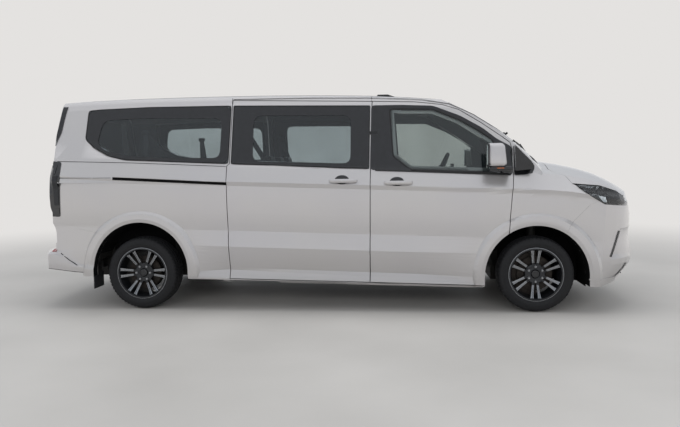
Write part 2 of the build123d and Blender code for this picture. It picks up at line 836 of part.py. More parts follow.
def rear_zone(grow):
    """Rear bumper: the tail below the tailgate and its two corners."""
    with BuildPart() as zone:
        add(side_prism(REAR_OUTLINE, CENTRE, grow))
        inner = block(
            (TAIL + 200 + grow, -OUT, -OUT),
            (HALF_WIDTH, CAVITY_Y + 3 - grow, OUT),
        )
        add(inner, mode=Mode.SUBTRACT)
    return zone.part


def floor_zone(grow):
    """Floor and firewall."""
    with BuildPart() as zone:
        floor = block((TAIL + 203 - grow, -OUT, -OUT), (FIREWALL_X, CAVITY_Y + 2 + grow, FLOOR_Z))
        wall = block(
            (FIREWALL_X - 1, -OUT, -OUT),
            (FIREWALL_X + FIREWALL_THICK + 1, WELL_Y - 26 + grow, BELT_Z - 185 + grow),
        )
        add(floor)
        add(wall)
    return zone.part


def bonnet_underside():
    """Space below the bonnet's side flanges and its front edge."""
    with BuildPart() as space:
        with BuildSketch(Plane.XZ.offset(-(WELL_Y - 21))):
            with BuildLine():
                edge = [(x, z - BONNET_THICK) for x, y, z in BONNET_OUTLINE[1:-1]]
                Polyline(
                    (BONNET_REAR_X - 200, 0),
                    (BONNET_REAR_X - 200, edge[0][1]),
                    *edge,
                    (NOSE, edge[-1][1]),
                    (NOSE, 0),
                    close=True,
                )
            make_face()
        extrude(amount=WELL_Y - 21 - OUT)
        add(block((NOSE - 160, CENTRE, 0), (NOSE, OUT, BELT_Z - 285 - BONNET_THICK)))
    return space.part


def half_panel(zone, *cuts):
    """The part of the left half body inside a zone and outside the cuts."""
    with BuildPart() as half:
        add(body.part)
        add(zone, mode=Mode.INTERSECT, clean=False)
        for cut in cuts:
            add(cut, mode=Mode.SUBTRACT, clean=False)
    return half.part


def left_and_right(name, half):
    """Write a left piece and its mirror image."""
    with BuildPart() as left:
        add(half)
    left.part.label = f"{name}_left"
    export_step(left.part, f"parts/{name}_left.step")
    with BuildPart() as right:
        add(half)
        mirror(about=Plane.XZ, mode=Mode.REPLACE)
    right.part.label = f"{name}_right"
    export_step(right.part, f"parts/{name}_right.step")


def whole(name, half):
    """Write a piece made of a left half and its mirror image."""
    with BuildPart() as piece:
        add(half)
        mirror(about=Plane.XZ)
    piece.part.label = name
    export_step(piece.part, f"parts/{name}.step")


door_front_zone = door_zone(DOOR_OUTLINE, SHUT_GAP, -HALF_GAP)
door_slide_zone = door_zone(SLIDE_OUTLINE, SHUT_GAP, -HALF_GAP)
door_front_cut = door_zone(DOOR_OUTLINE, 0, HALF_GAP)
door_slide_cut = door_zone(SLIDE_OUTLINE, 0, HALF_GAP)

with BuildPart() as door_form:
    add(half_panel(door_front_zone))
    add(hinge_sweep(), mode=Mode.INTERSECT, clean=False)
left_and_right("door_front", door_form.part)
left_and_right("door_slide", half_panel(door_slide_zone))
wing = half_panel(
    wing_zone(-HALF_SEAM), door_front_cut, bonnet_zone(HALF_GAP), lamp_zone(HALF_SEAM)
)
left_and_right("wing", wing)
whole("bonnet", half_panel(bonnet_zone(-HALF_GAP), lamp_zone(HALF_GAP), bonnet_underside()))
lamp = half_panel(lamp_zone(-HALF_SEAM), bonnet_zone(HALF_GAP))
whole("headlamps", lamp)
grille_cut = end_prism(GRILLE_OUTLINE, NOSE - 180, 300, HALF_SEAM)
intake_cut = end_prism(INTAKE_OUTLINE, NOSE - 180, 300, HALF_SEAM)
with BuildPart() as grille_zone:
    add(end_prism(GRILLE_OUTLINE, NOSE - 180, 300, -HALF_SEAM))
    add(end_prism(INTAKE_OUTLINE, NOSE - 180, 300, -HALF_SEAM))
whole("grille", half_panel(grille_zone.part))
nose = half_panel(
    front_zone(-HALF_SEAM),
    bonnet_zone(HALF_GAP),
    lamp_zone(HALF_SEAM),
    wing_zone(HALF_SEAM),
    grille_cut,
    intake_cut,
)
with BuildPart() as nose_half:
    add(nose)
    add(
        block(
            (NOSE - 60, 0, FRONT_PLATE_Z - PLATE_HIGH / 2),
            (NOSE, PLATE_WIDTH / 2, FRONT_PLATE_Z + PLATE_HIGH / 2),
        )
    )
whole("front_bumper", nose_half.part)
with BuildPart() as gate_half:
    add(half_panel(tailgate_zone(-TAIL_GAP)))
    add(
        block(
            (TAIL + 30, 0, REAR_PLATE_Z - PLATE_HIGH / 2),
            (TAIL + 90, PLATE_WIDTH / 2, REAR_PLATE_Z + PLATE_HIGH / 2),
        )
    )
whole("tailgate", gate_half.part)
whole("tail_lamps", half_panel(tail_lamp_zone(-HALF_SEAM), tailgate_zone(TAIL_GAP)))
tail = half_panel(
    rear_zone(-HALF_SEAM), tailgate_zone(TAIL_GAP), tail_lamp_zone(HALF_SEAM), floor_zone(HALF_SEAM)
)
whole("rear_bumper", tail)
under = block(
    (TAIL + 350, -OUT, -OUT),
    (FIREWALL_X - 60, CAVITY_Y - 75, FLOOR_Z - FLOOR_THICK),
)
whole("floor_pan", half_panel(floor_zone(-HALF_SEAM), under))


def edge_pads(near, far, blocks):
    """Pads in a shut gap, between two outlines, that stop short of the near one."""
    with BuildPart() as pads:
        for low, high in blocks:
            add(block(low, high))
        add(far, mode=Mode.INTERSECT)
        add(near, mode=Mode.SUBTRACT)
    return pads.part


# Hinge leaves and latch pads: they bridge the shut gaps of doors, bonnet and
# tailgate from the shell's side. Columns: low corner, high corner.
PAD = 45.0
FRONT_PADS = [
    ((A_SHUT_X - 60, CAVITY_Y - 55, z), (A_SHUT_X + 20, CAVITY_Y - 25, z + PAD)) for z in (880, 1080)
]
with BuildPart() as door_pads:
    add(edge_pads(
        side_prism(DOOR_OUTLINE, 400, -HALF_GAP + CLEAR),
        side_prism(DOOR_OUTLINE, 500, HALF_GAP + 0.5),
        FRONT_PADS,
    ))
SLIDE_PADS = [
    ((C_PILLAR_X - 60, CAVITY_Y + 10, z), (C_PILLAR_X + 20, CAVITY_Y + 40, z + PAD)) for z in (700, 1080)
]
with BuildPart() as slide_pads:
    add(edge_pads(
        side_prism(SLIDE_OUTLINE, 400, -HALF_GAP + CLEAR),
        side_prism(SLIDE_OUTLINE, 500, HALF_GAP + 0.5),
        SLIDE_PADS,
    ))
with BuildPart() as tail_pads:
    add(edge_pads(
        end_prism(TAILGATE_OUTLINE, TAIL - 100, TAILGATE_HINGE_X - TAIL + 100 - TAIL_GAP + CLEAR),
        end_prism(TAILGATE_OUTLINE, TAIL - 100, TAILGATE_HINGE_X - TAIL + 100 + TAIL_GAP + 0.5),
        [((TAILGATE_HINGE_X - 20, 400, ROOF_Z - 75), (TAILGATE_HINGE_X + 20, 480, ROOF_Z - 50))],
    ))
with BuildPart() as bonnet_pads:
    add(edge_pads(
        bonnet_zone(-HALF_GAP + CLEAR),
        bonnet_zone(HALF_GAP + 0.5),
        [((BONNET_REAR_X - 60, 480, BELT_Z - 30), (BONNET_REAR_X + 20, 560, BELT_Z - 5))],
    ))

shell_half = half_panel(
    block((TAIL - 100, 0, 0), (NOSE + 100, OUT, OUT)),
    door_front_cut,
    door_slide_cut,
    wing_zone(HALF_SEAM),
    bonnet_zone(HALF_GAP),
    lamp_zone(HALF_SEAM),
    front_zone(HALF_SEAM),
    tailgate_zone(TAIL_GAP),
    tail_lamp_zone(HALF_SEAM),
    rear_zone(HALF_SEAM),
    floor_zone(HALF_SEAM),
)
RAIL_REAR_X = C_PILLAR_X - 1070
RAIL_HIGH = 14.0
RAIL_OUTLINE = [
    (RAIL_REAR_X, BELT_Z - 66),
    (C_PILLAR_X - 40, BELT_Z - 124),
    (C_PILLAR_X - 40, BELT_Z - 124 - RAIL_HIGH),
    (RAIL_REAR_X, BELT_Z - 66 - RAIL_HIGH),
]
RAIL_DEPTH = 32.0
with BuildPart() as shell:
    add(shell_half)
    add(side_prism(RAIL_OUTLINE, HALF_WIDTH - RAIL_DEPTH), mode=Mode.SUBTRACT, clean=False)
    for pads in (door_pads, slide_pads, tail_pads, bonnet_pads):
        add(pads.part, clean=False)
whole("body_shell", shell.part)
with BuildPart() as rails:
    add(side_prism(RAIL_OUTLINE, HALF_WIDTH - RAIL_DEPTH + CLEAR, -CLEAR))
    with Locations((RAIL_REAR_X, HALF_WIDTH - 14 + HALF_WIDTH, BELT_Z)):
        Box(LENGTH, OUT, OUT, mode=Mode.SUBTRACT)
whole("slide_rails", rails.part)

# ------------------------------------------------------------------- glazing
side_glass = side_band(GLASS_SET, GLASS_SET + GLASS)
screen_glass = arc_band(SCREEN_ARC, -SCREEN_WRAP, GLASS_SET, GLASS_SET + GLASS, SCREEN_NORMAL)
tail_glass = arc_band(TAIL_ARC, TAIL_WRAP, GLASS_SET, GLASS_SET + GLASS, (1, 0))
with BuildPart() as rear_panes:
    add(side_prism(QUARTER_GLASS, 500, -CLEAR))
    add(side_prism(SLIDE_GLASS, 500, -CLEAR))
    add(side_glass, mode=Mode.INTERSECT)
whole("glass_rear_side", rear_panes.part)
with BuildPart() as front_pane:
    add(side_prism(DOOR_GLASS, 500, -CLEAR))
    add(side_glass, mode=Mode.INTERSECT)
left_and_right("glass_front", front_pane.part)
with BuildPart() as screen_half:
    add(end_prism(SCREEN_GLASS, 700, NOSE - 700, -CLEAR))
    with Locations((NOSE, -HALF_WIDTH, 0)):
        Box(2 * LENGTH, OUT, 2 * OUT, mode=Mode.SUBTRACT)
    add(screen_glass, mode=Mode.INTERSECT)
whole("windscreen", screen_half.part)
with BuildPart() as tail_half:
    add(end_prism(TAILGATE_GLASS, TAIL - 50, 300, -CLEAR))
    with Locations((TAIL, -HALF_WIDTH, 0)):
        Box(LENGTH, OUT, 2 * OUT, mode=Mode.SUBTRACT)
    add(tail_glass, mode=Mode.INTERSECT)
whole("glass_tailgate", tail_half.part)

# -------------------------------------------------------------------- wheels
HUB_FACE_Y = TYRE_Y + 50
FLANGE_R = RIM_R + 11
HUB_R = 80.0
SPOKE_PAIRS = 6
SPOKE_WIDTH = 22.0
SPOKE_APART = 46.0
NUT_CIRCLE_R = 65.0
BEAD_Y = 96.0
WHEELS = (("front", FRONT), ("rear", REAR))
for end, x in WHEELS:
    with BuildPart() as tyre:
        with BuildSketch(Plane.YZ.offset(x)):
            with BuildLine():
                Polyline(
                    (TYRE_Y - BEAD_Y + 1, TYRE_R + RIM_R + CLEAR),
                    (TYRE_Y + BEAD_Y - 1, TYRE_R + RIM_R + CLEAR),
                    (TYRE_Y + BEAD_Y - 1, TYRE_R + FLANGE_R + 3),
                )
                ThreePointArc(
                    (TYRE_Y + BEAD_Y - 1, TYRE_R + FLANGE_R + 3),
                    (TYRE_Y + TYRE_WIDTH / 2, 2 * TYRE_R - 52),
                    (TYRE_Y + TYRE_WIDTH / 2 - 17, 2 * TYRE_R - 11),
                )
                ThreePointArc(
                    (TYRE_Y + TYRE_WIDTH / 2 - 17, 2 * TYRE_R - 11),
                    (TYRE_Y, 2 * TYRE_R),
                    (TYRE_Y - TYRE_WIDTH / 2 + 17, 2 * TYRE_R - 11),
                )
                ThreePointArc(
                    (TYRE_Y - TYRE_WIDTH / 2 + 17, 2 * TYRE_R - 11),
                    (TYRE_Y - TYRE_WIDTH / 2, 2 * TYRE_R - 52),
                    (TYRE_Y - BEAD_Y + 1, TYRE_R + FLANGE_R + 3),
                )
                Line(
                    (TYRE_Y - BEAD_Y + 1, TYRE_R + FLANGE_R + 3),
                    (TYRE_Y - BEAD_Y + 1, TYRE_R + RIM_R + CLEAR),
                )
            make_face()
        revolve(axis=Axis((x, 0, TYRE_R), (0, 1, 0)), revolution_arc=360)
    left_and_right(f"tyre_{end}", tyre.part)
    with BuildPart() as rim:
        with BuildSketch(Plane.YZ.offset(x)):
            with BuildLine():
                Polyline(
                    (TYRE_Y - BEAD_Y - 8, TYRE_R + RIM_R - RIM_WALL),
                    (TYRE_Y + BEAD_Y + 8, TYRE_R + RIM_R - RIM_WALL),
                    (TYRE_Y + BEAD_Y + 8, TYRE_R + FLANGE_R),
                    (TYRE_Y + BEAD_Y - CLEAR, TYRE_R + FLANGE_R),
                    (TYRE_Y + BEAD_Y - CLEAR, TYRE_R + RIM_R),
                    (TYRE_Y - BEAD_Y + CLEAR, TYRE_R + RIM_R),
                    (TYRE_Y - BEAD_Y + CLEAR, TYRE_R + FLANGE_R),
                    (TYRE_Y - BEAD_Y - 8, TYRE_R + FLANGE_R),
                    close=True,
                )
            make_face()
        revolve(axis=Axis((x, 0, TYRE_R), (0, 1, 0)), revolution_arc=360)
        with BuildSketch(Plane.XZ.offset(-HUB_FACE_Y)):
            with Locations((x, TYRE_R)):
                Circle(HUB_R)
                with PolarLocations(0, SPOKE_PAIRS, start_angle=30 if x > 0 else 0):
                    for shift in (-SPOKE_APART / 2, SPOKE_APART / 2):
                        with Locations((RIM_R / 2, shift)):
                            Rectangle(RIM_R, SPOKE_WIDTH)
                Circle(RIM_R - RIM_WALL / 2, mode=Mode.INTERSECT)
        extrude(amount=-30)
        with BuildSketch(Plane.XZ.offset(-HUB_FACE_Y - 30)):
            with Locations((x, TYRE_R)):
                with PolarLocations(NUT_CIRCLE_R, SPOKE_PAIRS):
                    RegularPolygon(radius=12, side_count=6)
                Circle(34)
        extrude(amount=-12)
    left_and_right(f"rim_{end}", rim.part)

# ------------------------------------------------- steering and suspension
KING_Y = 700.0
ARM_THICK = 28.0
KNUCKLE_LOW = TYRE_R - 133
KNUCKLE_HIGH = TYRE_R + 122
DISC_R = 158.0
DISC_THICK = 26.0
AXLE_R = 40.0
HUB_STUB_R = 70.0
STRUT_R = 26.0
SUBFRAME_Y = WELL_Y - 20 - CLEAR
WELL_TOP = ARCH_Z + ARCH_R
FLOOR_UNDER = FLOOR_Z - FLOOR_THICK


def brake_and_hub(x):
    """Brake disc, hub and caliper on a wheel's axis, for a left wheel."""
    with BuildPart() as hub:
        with BuildSketch(Plane.XZ.offset(-(KING_Y - 20))):
            with Locations((x, TYRE_R)):
                Circle(AXLE_R + 12)
        extrude(amount=-(HUB_FACE_Y - KING_Y - 30))
        with BuildSketch(Plane.XZ.offset(-(HUB_FACE_Y - 60))):
            with Locations((x, TYRE_R)):
                Circle(HUB_STUB_R)
        extrude(amount=-(60 - CLEAR))
        with BuildSketch(Plane.XZ.offset(-(HUB_FACE_Y - 100))):
            with Locations((x, TYRE_R)):
                Circle(DISC_R)
        extrude(amount=-DISC_THICK)
        with BuildSketch(Plane.XZ.offset(-(HUB_FACE_Y - 130))):
            with Locations((x, TYRE_R)):
                Circle(DISC_R + 32)
                Circle(DISC_R - 58, mode=Mode.SUBTRACT)
                with Locations((DISC_R + 78, 0)):
                    Rectangle(2 * DISC_R + 120, 4 * DISC_R, mode=Mode.SUBTRACT)
        extrude(amount=-80)
    return hub.part


with BuildPart() as knuckle:
    add(brake_and_hub(FRONT))
    with Locations((FRONT, KING_Y, (KNUCKLE_LOW + KNUCKLE_HIGH) / 2)):
        Cylinder(24, KNUCKLE_HIGH - KNUCKLE_LOW)
left_and_right("knuckle", knuckle.part)

with BuildPart() as front_axle:
    with Locations((FRONT, 0, 215)):
        Box(320, 2 * 470, 50)
    with Locations((FRONT, 0, 215)):
        Box(90, 2 * SUBFRAME_Y, 50)
    for side, word in SIDES:
        with BuildSketch(Plane.XY.offset(KNUCKLE_LOW - CLEAR - ARM_THICK)):
            with BuildLine():
                Polyline(
                    (FRONT - 150, side * 420),
                    (FRONT + 150, side * 420),
                    (FRONT + 26, side * KING_Y),
                    (FRONT - 26, side * KING_Y),
                    close=True,
                )
            make_face()
            with Locations((FRONT, side * KING_Y)):
                Circle(28)
        extrude(amount=ARM_THICK)
front_axle.part.label = "front_axle"
export_step(front_axle.part, "parts/front_axle.step")

with BuildPart() as struts:
    for side, word in SIDES:
        with Locations((FRONT, side * KING_Y, (KNUCKLE_HIGH + WELL_TOP) / 2 + CLEAR / 2 - 5)):
            Cylinder(STRUT_R, WELL_TOP - KNUCKLE_HIGH - 10 - CLEAR)
        with Locations((FRONT, side * KING_Y, WELL_TOP - 20)):
            Cylinder(12, 2 * (20 - CLEAR))
        with Locations((FRONT, side * KING_Y, WELL_TOP - 80)):
            Cylinder(STRUT_R + 12, 100)
struts.part.label = "front_struts"
export_step(struts.part, "parts/front_struts.step")

SPRING_Y = 560.0
SPRING_WIDTH = 60.0
SPRING_LENGTH = 1240.0
with BuildPart() as rear_axle:
    with Locations((REAR, 0, TYRE_R)):
        Cylinder(AXLE_R, 2 * (HUB_FACE_Y - 80), rotation=(90, 0, 0))
    for side, word in SIDES:
        with Locations((REAR, side * SPRING_Y, TYRE_R - 62)):
            Box(SPRING_LENGTH, SPRING_WIDTH, 22)
        with Locations((REAR, side * SPRING_Y, TYRE_R - 40)):
            Box(110, SPRING_WIDTH, 60)
        for end in (-1, 1):
            z_low = TYRE_R - 73
            with Locations((REAR + end * (SPRING_LENGTH / 2 - 30), side * SPRING_Y, (z_low + FLOOR_UNDER) / 2)):
                Box(60, SPRING_WIDTH, FLOOR_UNDER - z_low - 2 * CLEAR)
    rear_hub = brake_and_hub(REAR)
    add(rear_hub)
    mirrored = mirror(rear_hub, about=Plane.XZ, mode=Mode.PRIVATE)
    add(mirrored)
rear_axle.part.label = "rear_axle"
export_step(rear_axle.part, "parts/rear_axle.step")

ENGINE_SIZE = (500.0, 620.0, 620.0)
with BuildPart() as engine:
    with Locations((FRONT + 80, 0, 240 + CLEAR + ENGINE_SIZE[2] / 2)):
        Box(*ENGINE_SIZE)
engine.part.label = "engine_block"
export_step(engine.part, "parts/engine_block.step")

# --------------------------------------------------------------- cabin fittings
DASH_Y = CAVITY_Y - 90
DRIVER_Y = 400.0
STEERING_X = FIREWALL_X - 470
STEERING_Z = 1225.0
STEERING_R = 185.0
steering_plane = Plane(
    origin=(STEERING_X, DRIVER_Y, STEERING_Z), x_dir=(0, 1, 0), z_dir=(1, 0, -0.45)
)
with BuildPart() as dashboard:
    with BuildSketch(Plane.XZ.offset(-DASH_Y)):
        with BuildLine():
            Polyline(
                (FIREWALL_X - CLEAR, 900),
                (FIREWALL_X - 260, 900),
                (FIREWALL_X - 330, 1010),
                (FIREWALL_X - 340, 1110),
                (FIREWALL_X - 250, 1190),
                (FIREWALL_X - CLEAR, BELT_Z - 45),
                close=True,
            )
        make_face()
    extrude(amount=2 * DASH_Y)
    with BuildSketch(steering_plane.offset(30)):
        Circle(38)
    extrude(amount=240)
dashboard.part.label = "dashboard"
export_step(dashboard.part, "parts/dashboard.step")

with BuildPart() as steering_wheel:
    with BuildSketch(steering_plane):
        with Locations((0, 0)):
            Circle(60)
        with PolarLocations(0, 3, start_angle=90):
            with Locations((STEERING_R / 2, 0)):
                Rectangle(STEERING_R, 32)
        Circle(STEERING_R, mode=Mode.INTERSECT)
    extrude(amount=14)
    with BuildSketch(steering_plane):
        Circle(45)
    extrude(amount=30 - CLEAR)
    with BuildSketch(Plane(steering_plane.origin, x_dir=steering_plane.z_dir, z_dir=(0, 1, 0))):
        with Locations((7, STEERING_R)):
            Circle(16)
    revolve(axis=Axis(steering_plane.origin, steering_plane.z_dir), revolution_arc=360)
steering_wheel.part.label = "steering_wheel"
export_step(steering_wheel.part, "parts/steering_wheel.step")

# Seats. Columns: name, hip x, seat centres across, width of one seat,
# height of the cushion's top, height of the back, height of the headrest.
SEATS = [
    ("seats_front", 560.0, (-DRIVER_Y, DRIVER_Y), 500.0, 820.0, 620.0, 150.0),
    ("seats_middle", -470.0, (-480.0, 0.0, 480.0), 450.0, 790.0, 500.0, 100.0),
    ("seats_rear", -1420.0, (-400.0, 0.0, 400.0), 390.0, 790.0, 500.0, 100.0),
]
CUSHION_LENGTH = 500.0
CUSHION_THICK = 120.0
BACK_THICK = 110.0
BACK_LEAN = 12.0
for name, hip_x, centres, width, top, back_height, rest_height in SEATS:
    with BuildPart() as seats:
        for y in centres:
            low = top - CUSHION_THICK
            with Locations((hip_x + CUSHION_LENGTH / 2, y, low + CUSHION_THICK / 2)):
                Box(CUSHION_LENGTH, width, CUSHION_THICK)
            with Locations((hip_x + CUSHION_LENGTH / 2, y, (low + FLOOR_Z + CLEAR) / 2)):
                Box(CUSHION_LENGTH - 160, width - 120, low - FLOOR_Z - CLEAR)
            back_plane = Plane.XZ.offset(-y - width / 2 + 10)
            with BuildSketch(back_plane):
                with BuildLine():
                    Polyline(
                        (hip_x + 40, top - 100),
                        (hip_x + 40 - BACK_THICK, top - 100),
                        (hip_x - 90 - BACK_THICK, top + back_height),
                        (hip_x - 110, top + back_height),
                        (hip_x + 40, top),
                        close=True,
                    )
                make_face()
            extrude(amount=width - 20)
            with Locations((hip_x - 160, y, top + back_height + rest_height / 2)):
                Box(80, 0.56 * width, rest_height)
    seats.part.label = name
    export_step(seats.part, f"parts/{name}.step")

# ------------------------------------------------------- outside fittings
MIRROR_X = A_SHUT_X - 223
MIRROR_LOW = 1250.0
MIRROR_HIGH = 1457.0
with BuildPart() as mirror_piece:
    with BuildSketch(Plane.YZ.offset(MIRROR_X)):
        with BuildLine():
            Polyline(
                (1030, MIRROR_LOW),
                (1030, MIRROR_HIGH - 40),
                (1050, MIRROR_HIGH),
                (1118, MIRROR_HIGH - 8),
                (1136, MIRROR_HIGH - 50),
                (1132, MIRROR_LOW),
                close=True,
            )
        make_face()
    extrude(amount=146)
    with BuildSketch(Plane.XZ.offset(-1020)):
        with BuildLine():
            Polyline(
                (MIRROR_X, MIRROR_LOW),
                (MIRROR_X + 5, MIRROR_LOW - 38),
                (MIRROR_X + 120, MIRROR_LOW - 48),
                (A_SHUT_X - 30, MIRROR_LOW - 40),
                (A_SHUT_X - 30, MIRROR_LOW + 10),
                (MIRROR_X + 146, MIRROR_LOW),
                close=True,
            )
        make_face()
    extrude(amount=-105)
    with BuildSketch(Plane.XZ.offset(-900)):
        with BuildLine():
            Polyline(
                (A_SHUT_X - 160, MIRROR_LOW - 44),
                (A_SHUT_X - 30, MIRROR_LOW - 38),
                (A_SHUT_X - 30, MIRROR_LOW + 8),
                (A_SHUT_X - 160, MIRROR_LOW - 2),
                close=True,
            )
        make_face()
    extrude(amount=-125)
    add(flanks.part, mode=Mode.SUBTRACT)
    add(cabin.part, mode=Mode.SUBTRACT)
left_and_right("mirror", mirror_piece.part)

FAIRING_OUTLINE = [
    (A_SHUT_X + 10, ROOF_Z - 530),
    (A_SHUT_X + 14, BELT_Z - 42),
    (NOSE - 990, BELT_Z - 28),
    (NOSE - 974, BELT_Z - 2),
    (NOSE - 998, BELT_Z + 38),
]
with BuildPart() as fairing:
    add(side_prism(FAIRING_OUTLINE, 850))
    with Locations((A_SHUT_X, HALF_WIDTH - 22 + HALF_WIDTH, BELT_Z)):
        Box(OUT, OUT, OUT, mode=Mode.SUBTRACT)
    add(flanks.part, mode=Mode.SUBTRACT)
    add(cabin.part, mode=Mode.SUBTRACT)
whole("mirror_fairings", fairing.part)

POD_X = B_PILLAR_X + 112
with BuildPart() as pod:
    with BuildSketch(Plane.XZ.offset(-30)):
        with BuildLine():
            Polyline(
                (POD_X - 93, ROOF_Z - 80),
                (POD_X - 93, ROOF_Z - 4),
                (POD_X - 80, ROOF_Z + 20),
                (POD_X + 20, ROOF_Z + 20),
                (POD_X + 93, ROOF_Z - 6),
                (POD_X + 93, ROOF_Z - 80),
                close=True,
            )
        make_face()
    extrude(amount=30)
    add(cabin.part, mode=Mode.SUBTRACT)
whole("aerial_pod", pod.part)

with BuildPart() as flap:
    with Locations((REAR - ARCH_R - 14, (TYRE_Y + 20), 290)):
        Box(8, 190, 210)
    add(flanks.part, mode=Mode.SUBTRACT)
    add(flare(REAR, REAR_ARCH_Z), mode=Mode.SUBTRACT)
whole("mud_flaps", flap.part)
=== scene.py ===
import math
import bpy, bmesh
from mathutils import Matrix, Vector
from mathutils.bvhtree import BVHTree


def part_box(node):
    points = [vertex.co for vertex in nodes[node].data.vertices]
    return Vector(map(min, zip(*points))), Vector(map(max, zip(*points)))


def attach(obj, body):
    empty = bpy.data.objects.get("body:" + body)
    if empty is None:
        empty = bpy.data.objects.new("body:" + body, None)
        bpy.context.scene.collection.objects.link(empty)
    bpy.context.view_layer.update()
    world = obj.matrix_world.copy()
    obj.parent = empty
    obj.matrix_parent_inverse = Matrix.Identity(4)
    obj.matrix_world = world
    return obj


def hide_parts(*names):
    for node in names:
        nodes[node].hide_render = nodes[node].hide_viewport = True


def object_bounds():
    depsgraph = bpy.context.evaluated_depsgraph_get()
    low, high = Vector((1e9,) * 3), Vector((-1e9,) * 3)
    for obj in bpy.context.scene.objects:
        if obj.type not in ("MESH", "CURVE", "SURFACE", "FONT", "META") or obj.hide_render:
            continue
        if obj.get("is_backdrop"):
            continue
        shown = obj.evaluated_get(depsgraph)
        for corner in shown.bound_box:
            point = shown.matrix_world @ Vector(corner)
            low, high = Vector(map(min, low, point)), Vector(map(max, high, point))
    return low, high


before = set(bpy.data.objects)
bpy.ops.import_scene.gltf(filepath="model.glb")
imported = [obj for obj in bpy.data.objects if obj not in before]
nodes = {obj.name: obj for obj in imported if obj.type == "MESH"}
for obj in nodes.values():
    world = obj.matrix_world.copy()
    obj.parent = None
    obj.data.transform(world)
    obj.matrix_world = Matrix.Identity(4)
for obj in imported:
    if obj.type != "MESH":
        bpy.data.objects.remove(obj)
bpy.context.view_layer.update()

scene = bpy.context.scene
sides = (("left", 1), ("right", -1))


# Colours, shader nodes and materials.
def hexLinear(code, strength=1.0):
    parts = [int(code[i:i + 2], 16) / 255 for i in (1, 3, 5)]
    return tuple(strength * (c / 12.92 if c <= 0.04045 else ((c + 0.055) / 1.055) ** 2.4) for c in parts) + (1.0,)


def linkTo(node, links):
    # Each source is a socket, or a node whose first output is meant.
    for name, source in links.items():
        node.id_data.links.new(getattr(source, "outputs", [source])[0], node.inputs[name])


def addNode(tree, kind, settings=None, values=None, links=None):
    node = tree.nodes.new("ShaderNode" + kind)
    for name, value in (settings or {}).items():
        setattr(node, name, value)
    for name, value in (values or {}).items():
        node.inputs[name].default_value = value
    linkTo(node, links or {})
    return node


def newMaterial(name, values):
    material = bpy.data.materials.new(name)
    material.use_nodes = True
    tree = material.node_tree
    shader = tree.nodes["Principled BSDF"]
    for key, value in values.items():
        shader.inputs[key].default_value = value
    coords = addNode(tree, "TexCoord")
    return material, tree, shader, coords.outputs["Object"]


def setStops(ramp, stops):
    # Fills a colour ramp with places and colours.
    band = ramp.color_ramp
    while len(band.elements) < len(stops):
        band.elements.new(0.5)
    for element, (place, colour) in zip(band.elements, stops):
        element.position = place
        element.color = colour if isinstance(colour, tuple) else hexLinear(colour)
    return ramp


def dress(tree, shader, pattern, stops, rough=None, bump=None):
    # One pattern gives a surface its colour, its roughness (from, to) and its relief (strength, mm).
    linkTo(shader, {"Base Color": setStops(addNode(tree, "ValToRGB", links={"Fac": pattern}), stops)})
    if rough:
        values = dict(zip(("To Min", "To Max"), rough))
        linkTo(shader, {"Roughness": addNode(tree, "MapRange", values=values, links={"Value": pattern})})
    if bump:
        values = {"Strength": bump[0], "Distance": bump[1] / 1000}
        linkTo(shader, {"Normal": addNode(tree, "Bump", values=values, links={"Height": pattern})})


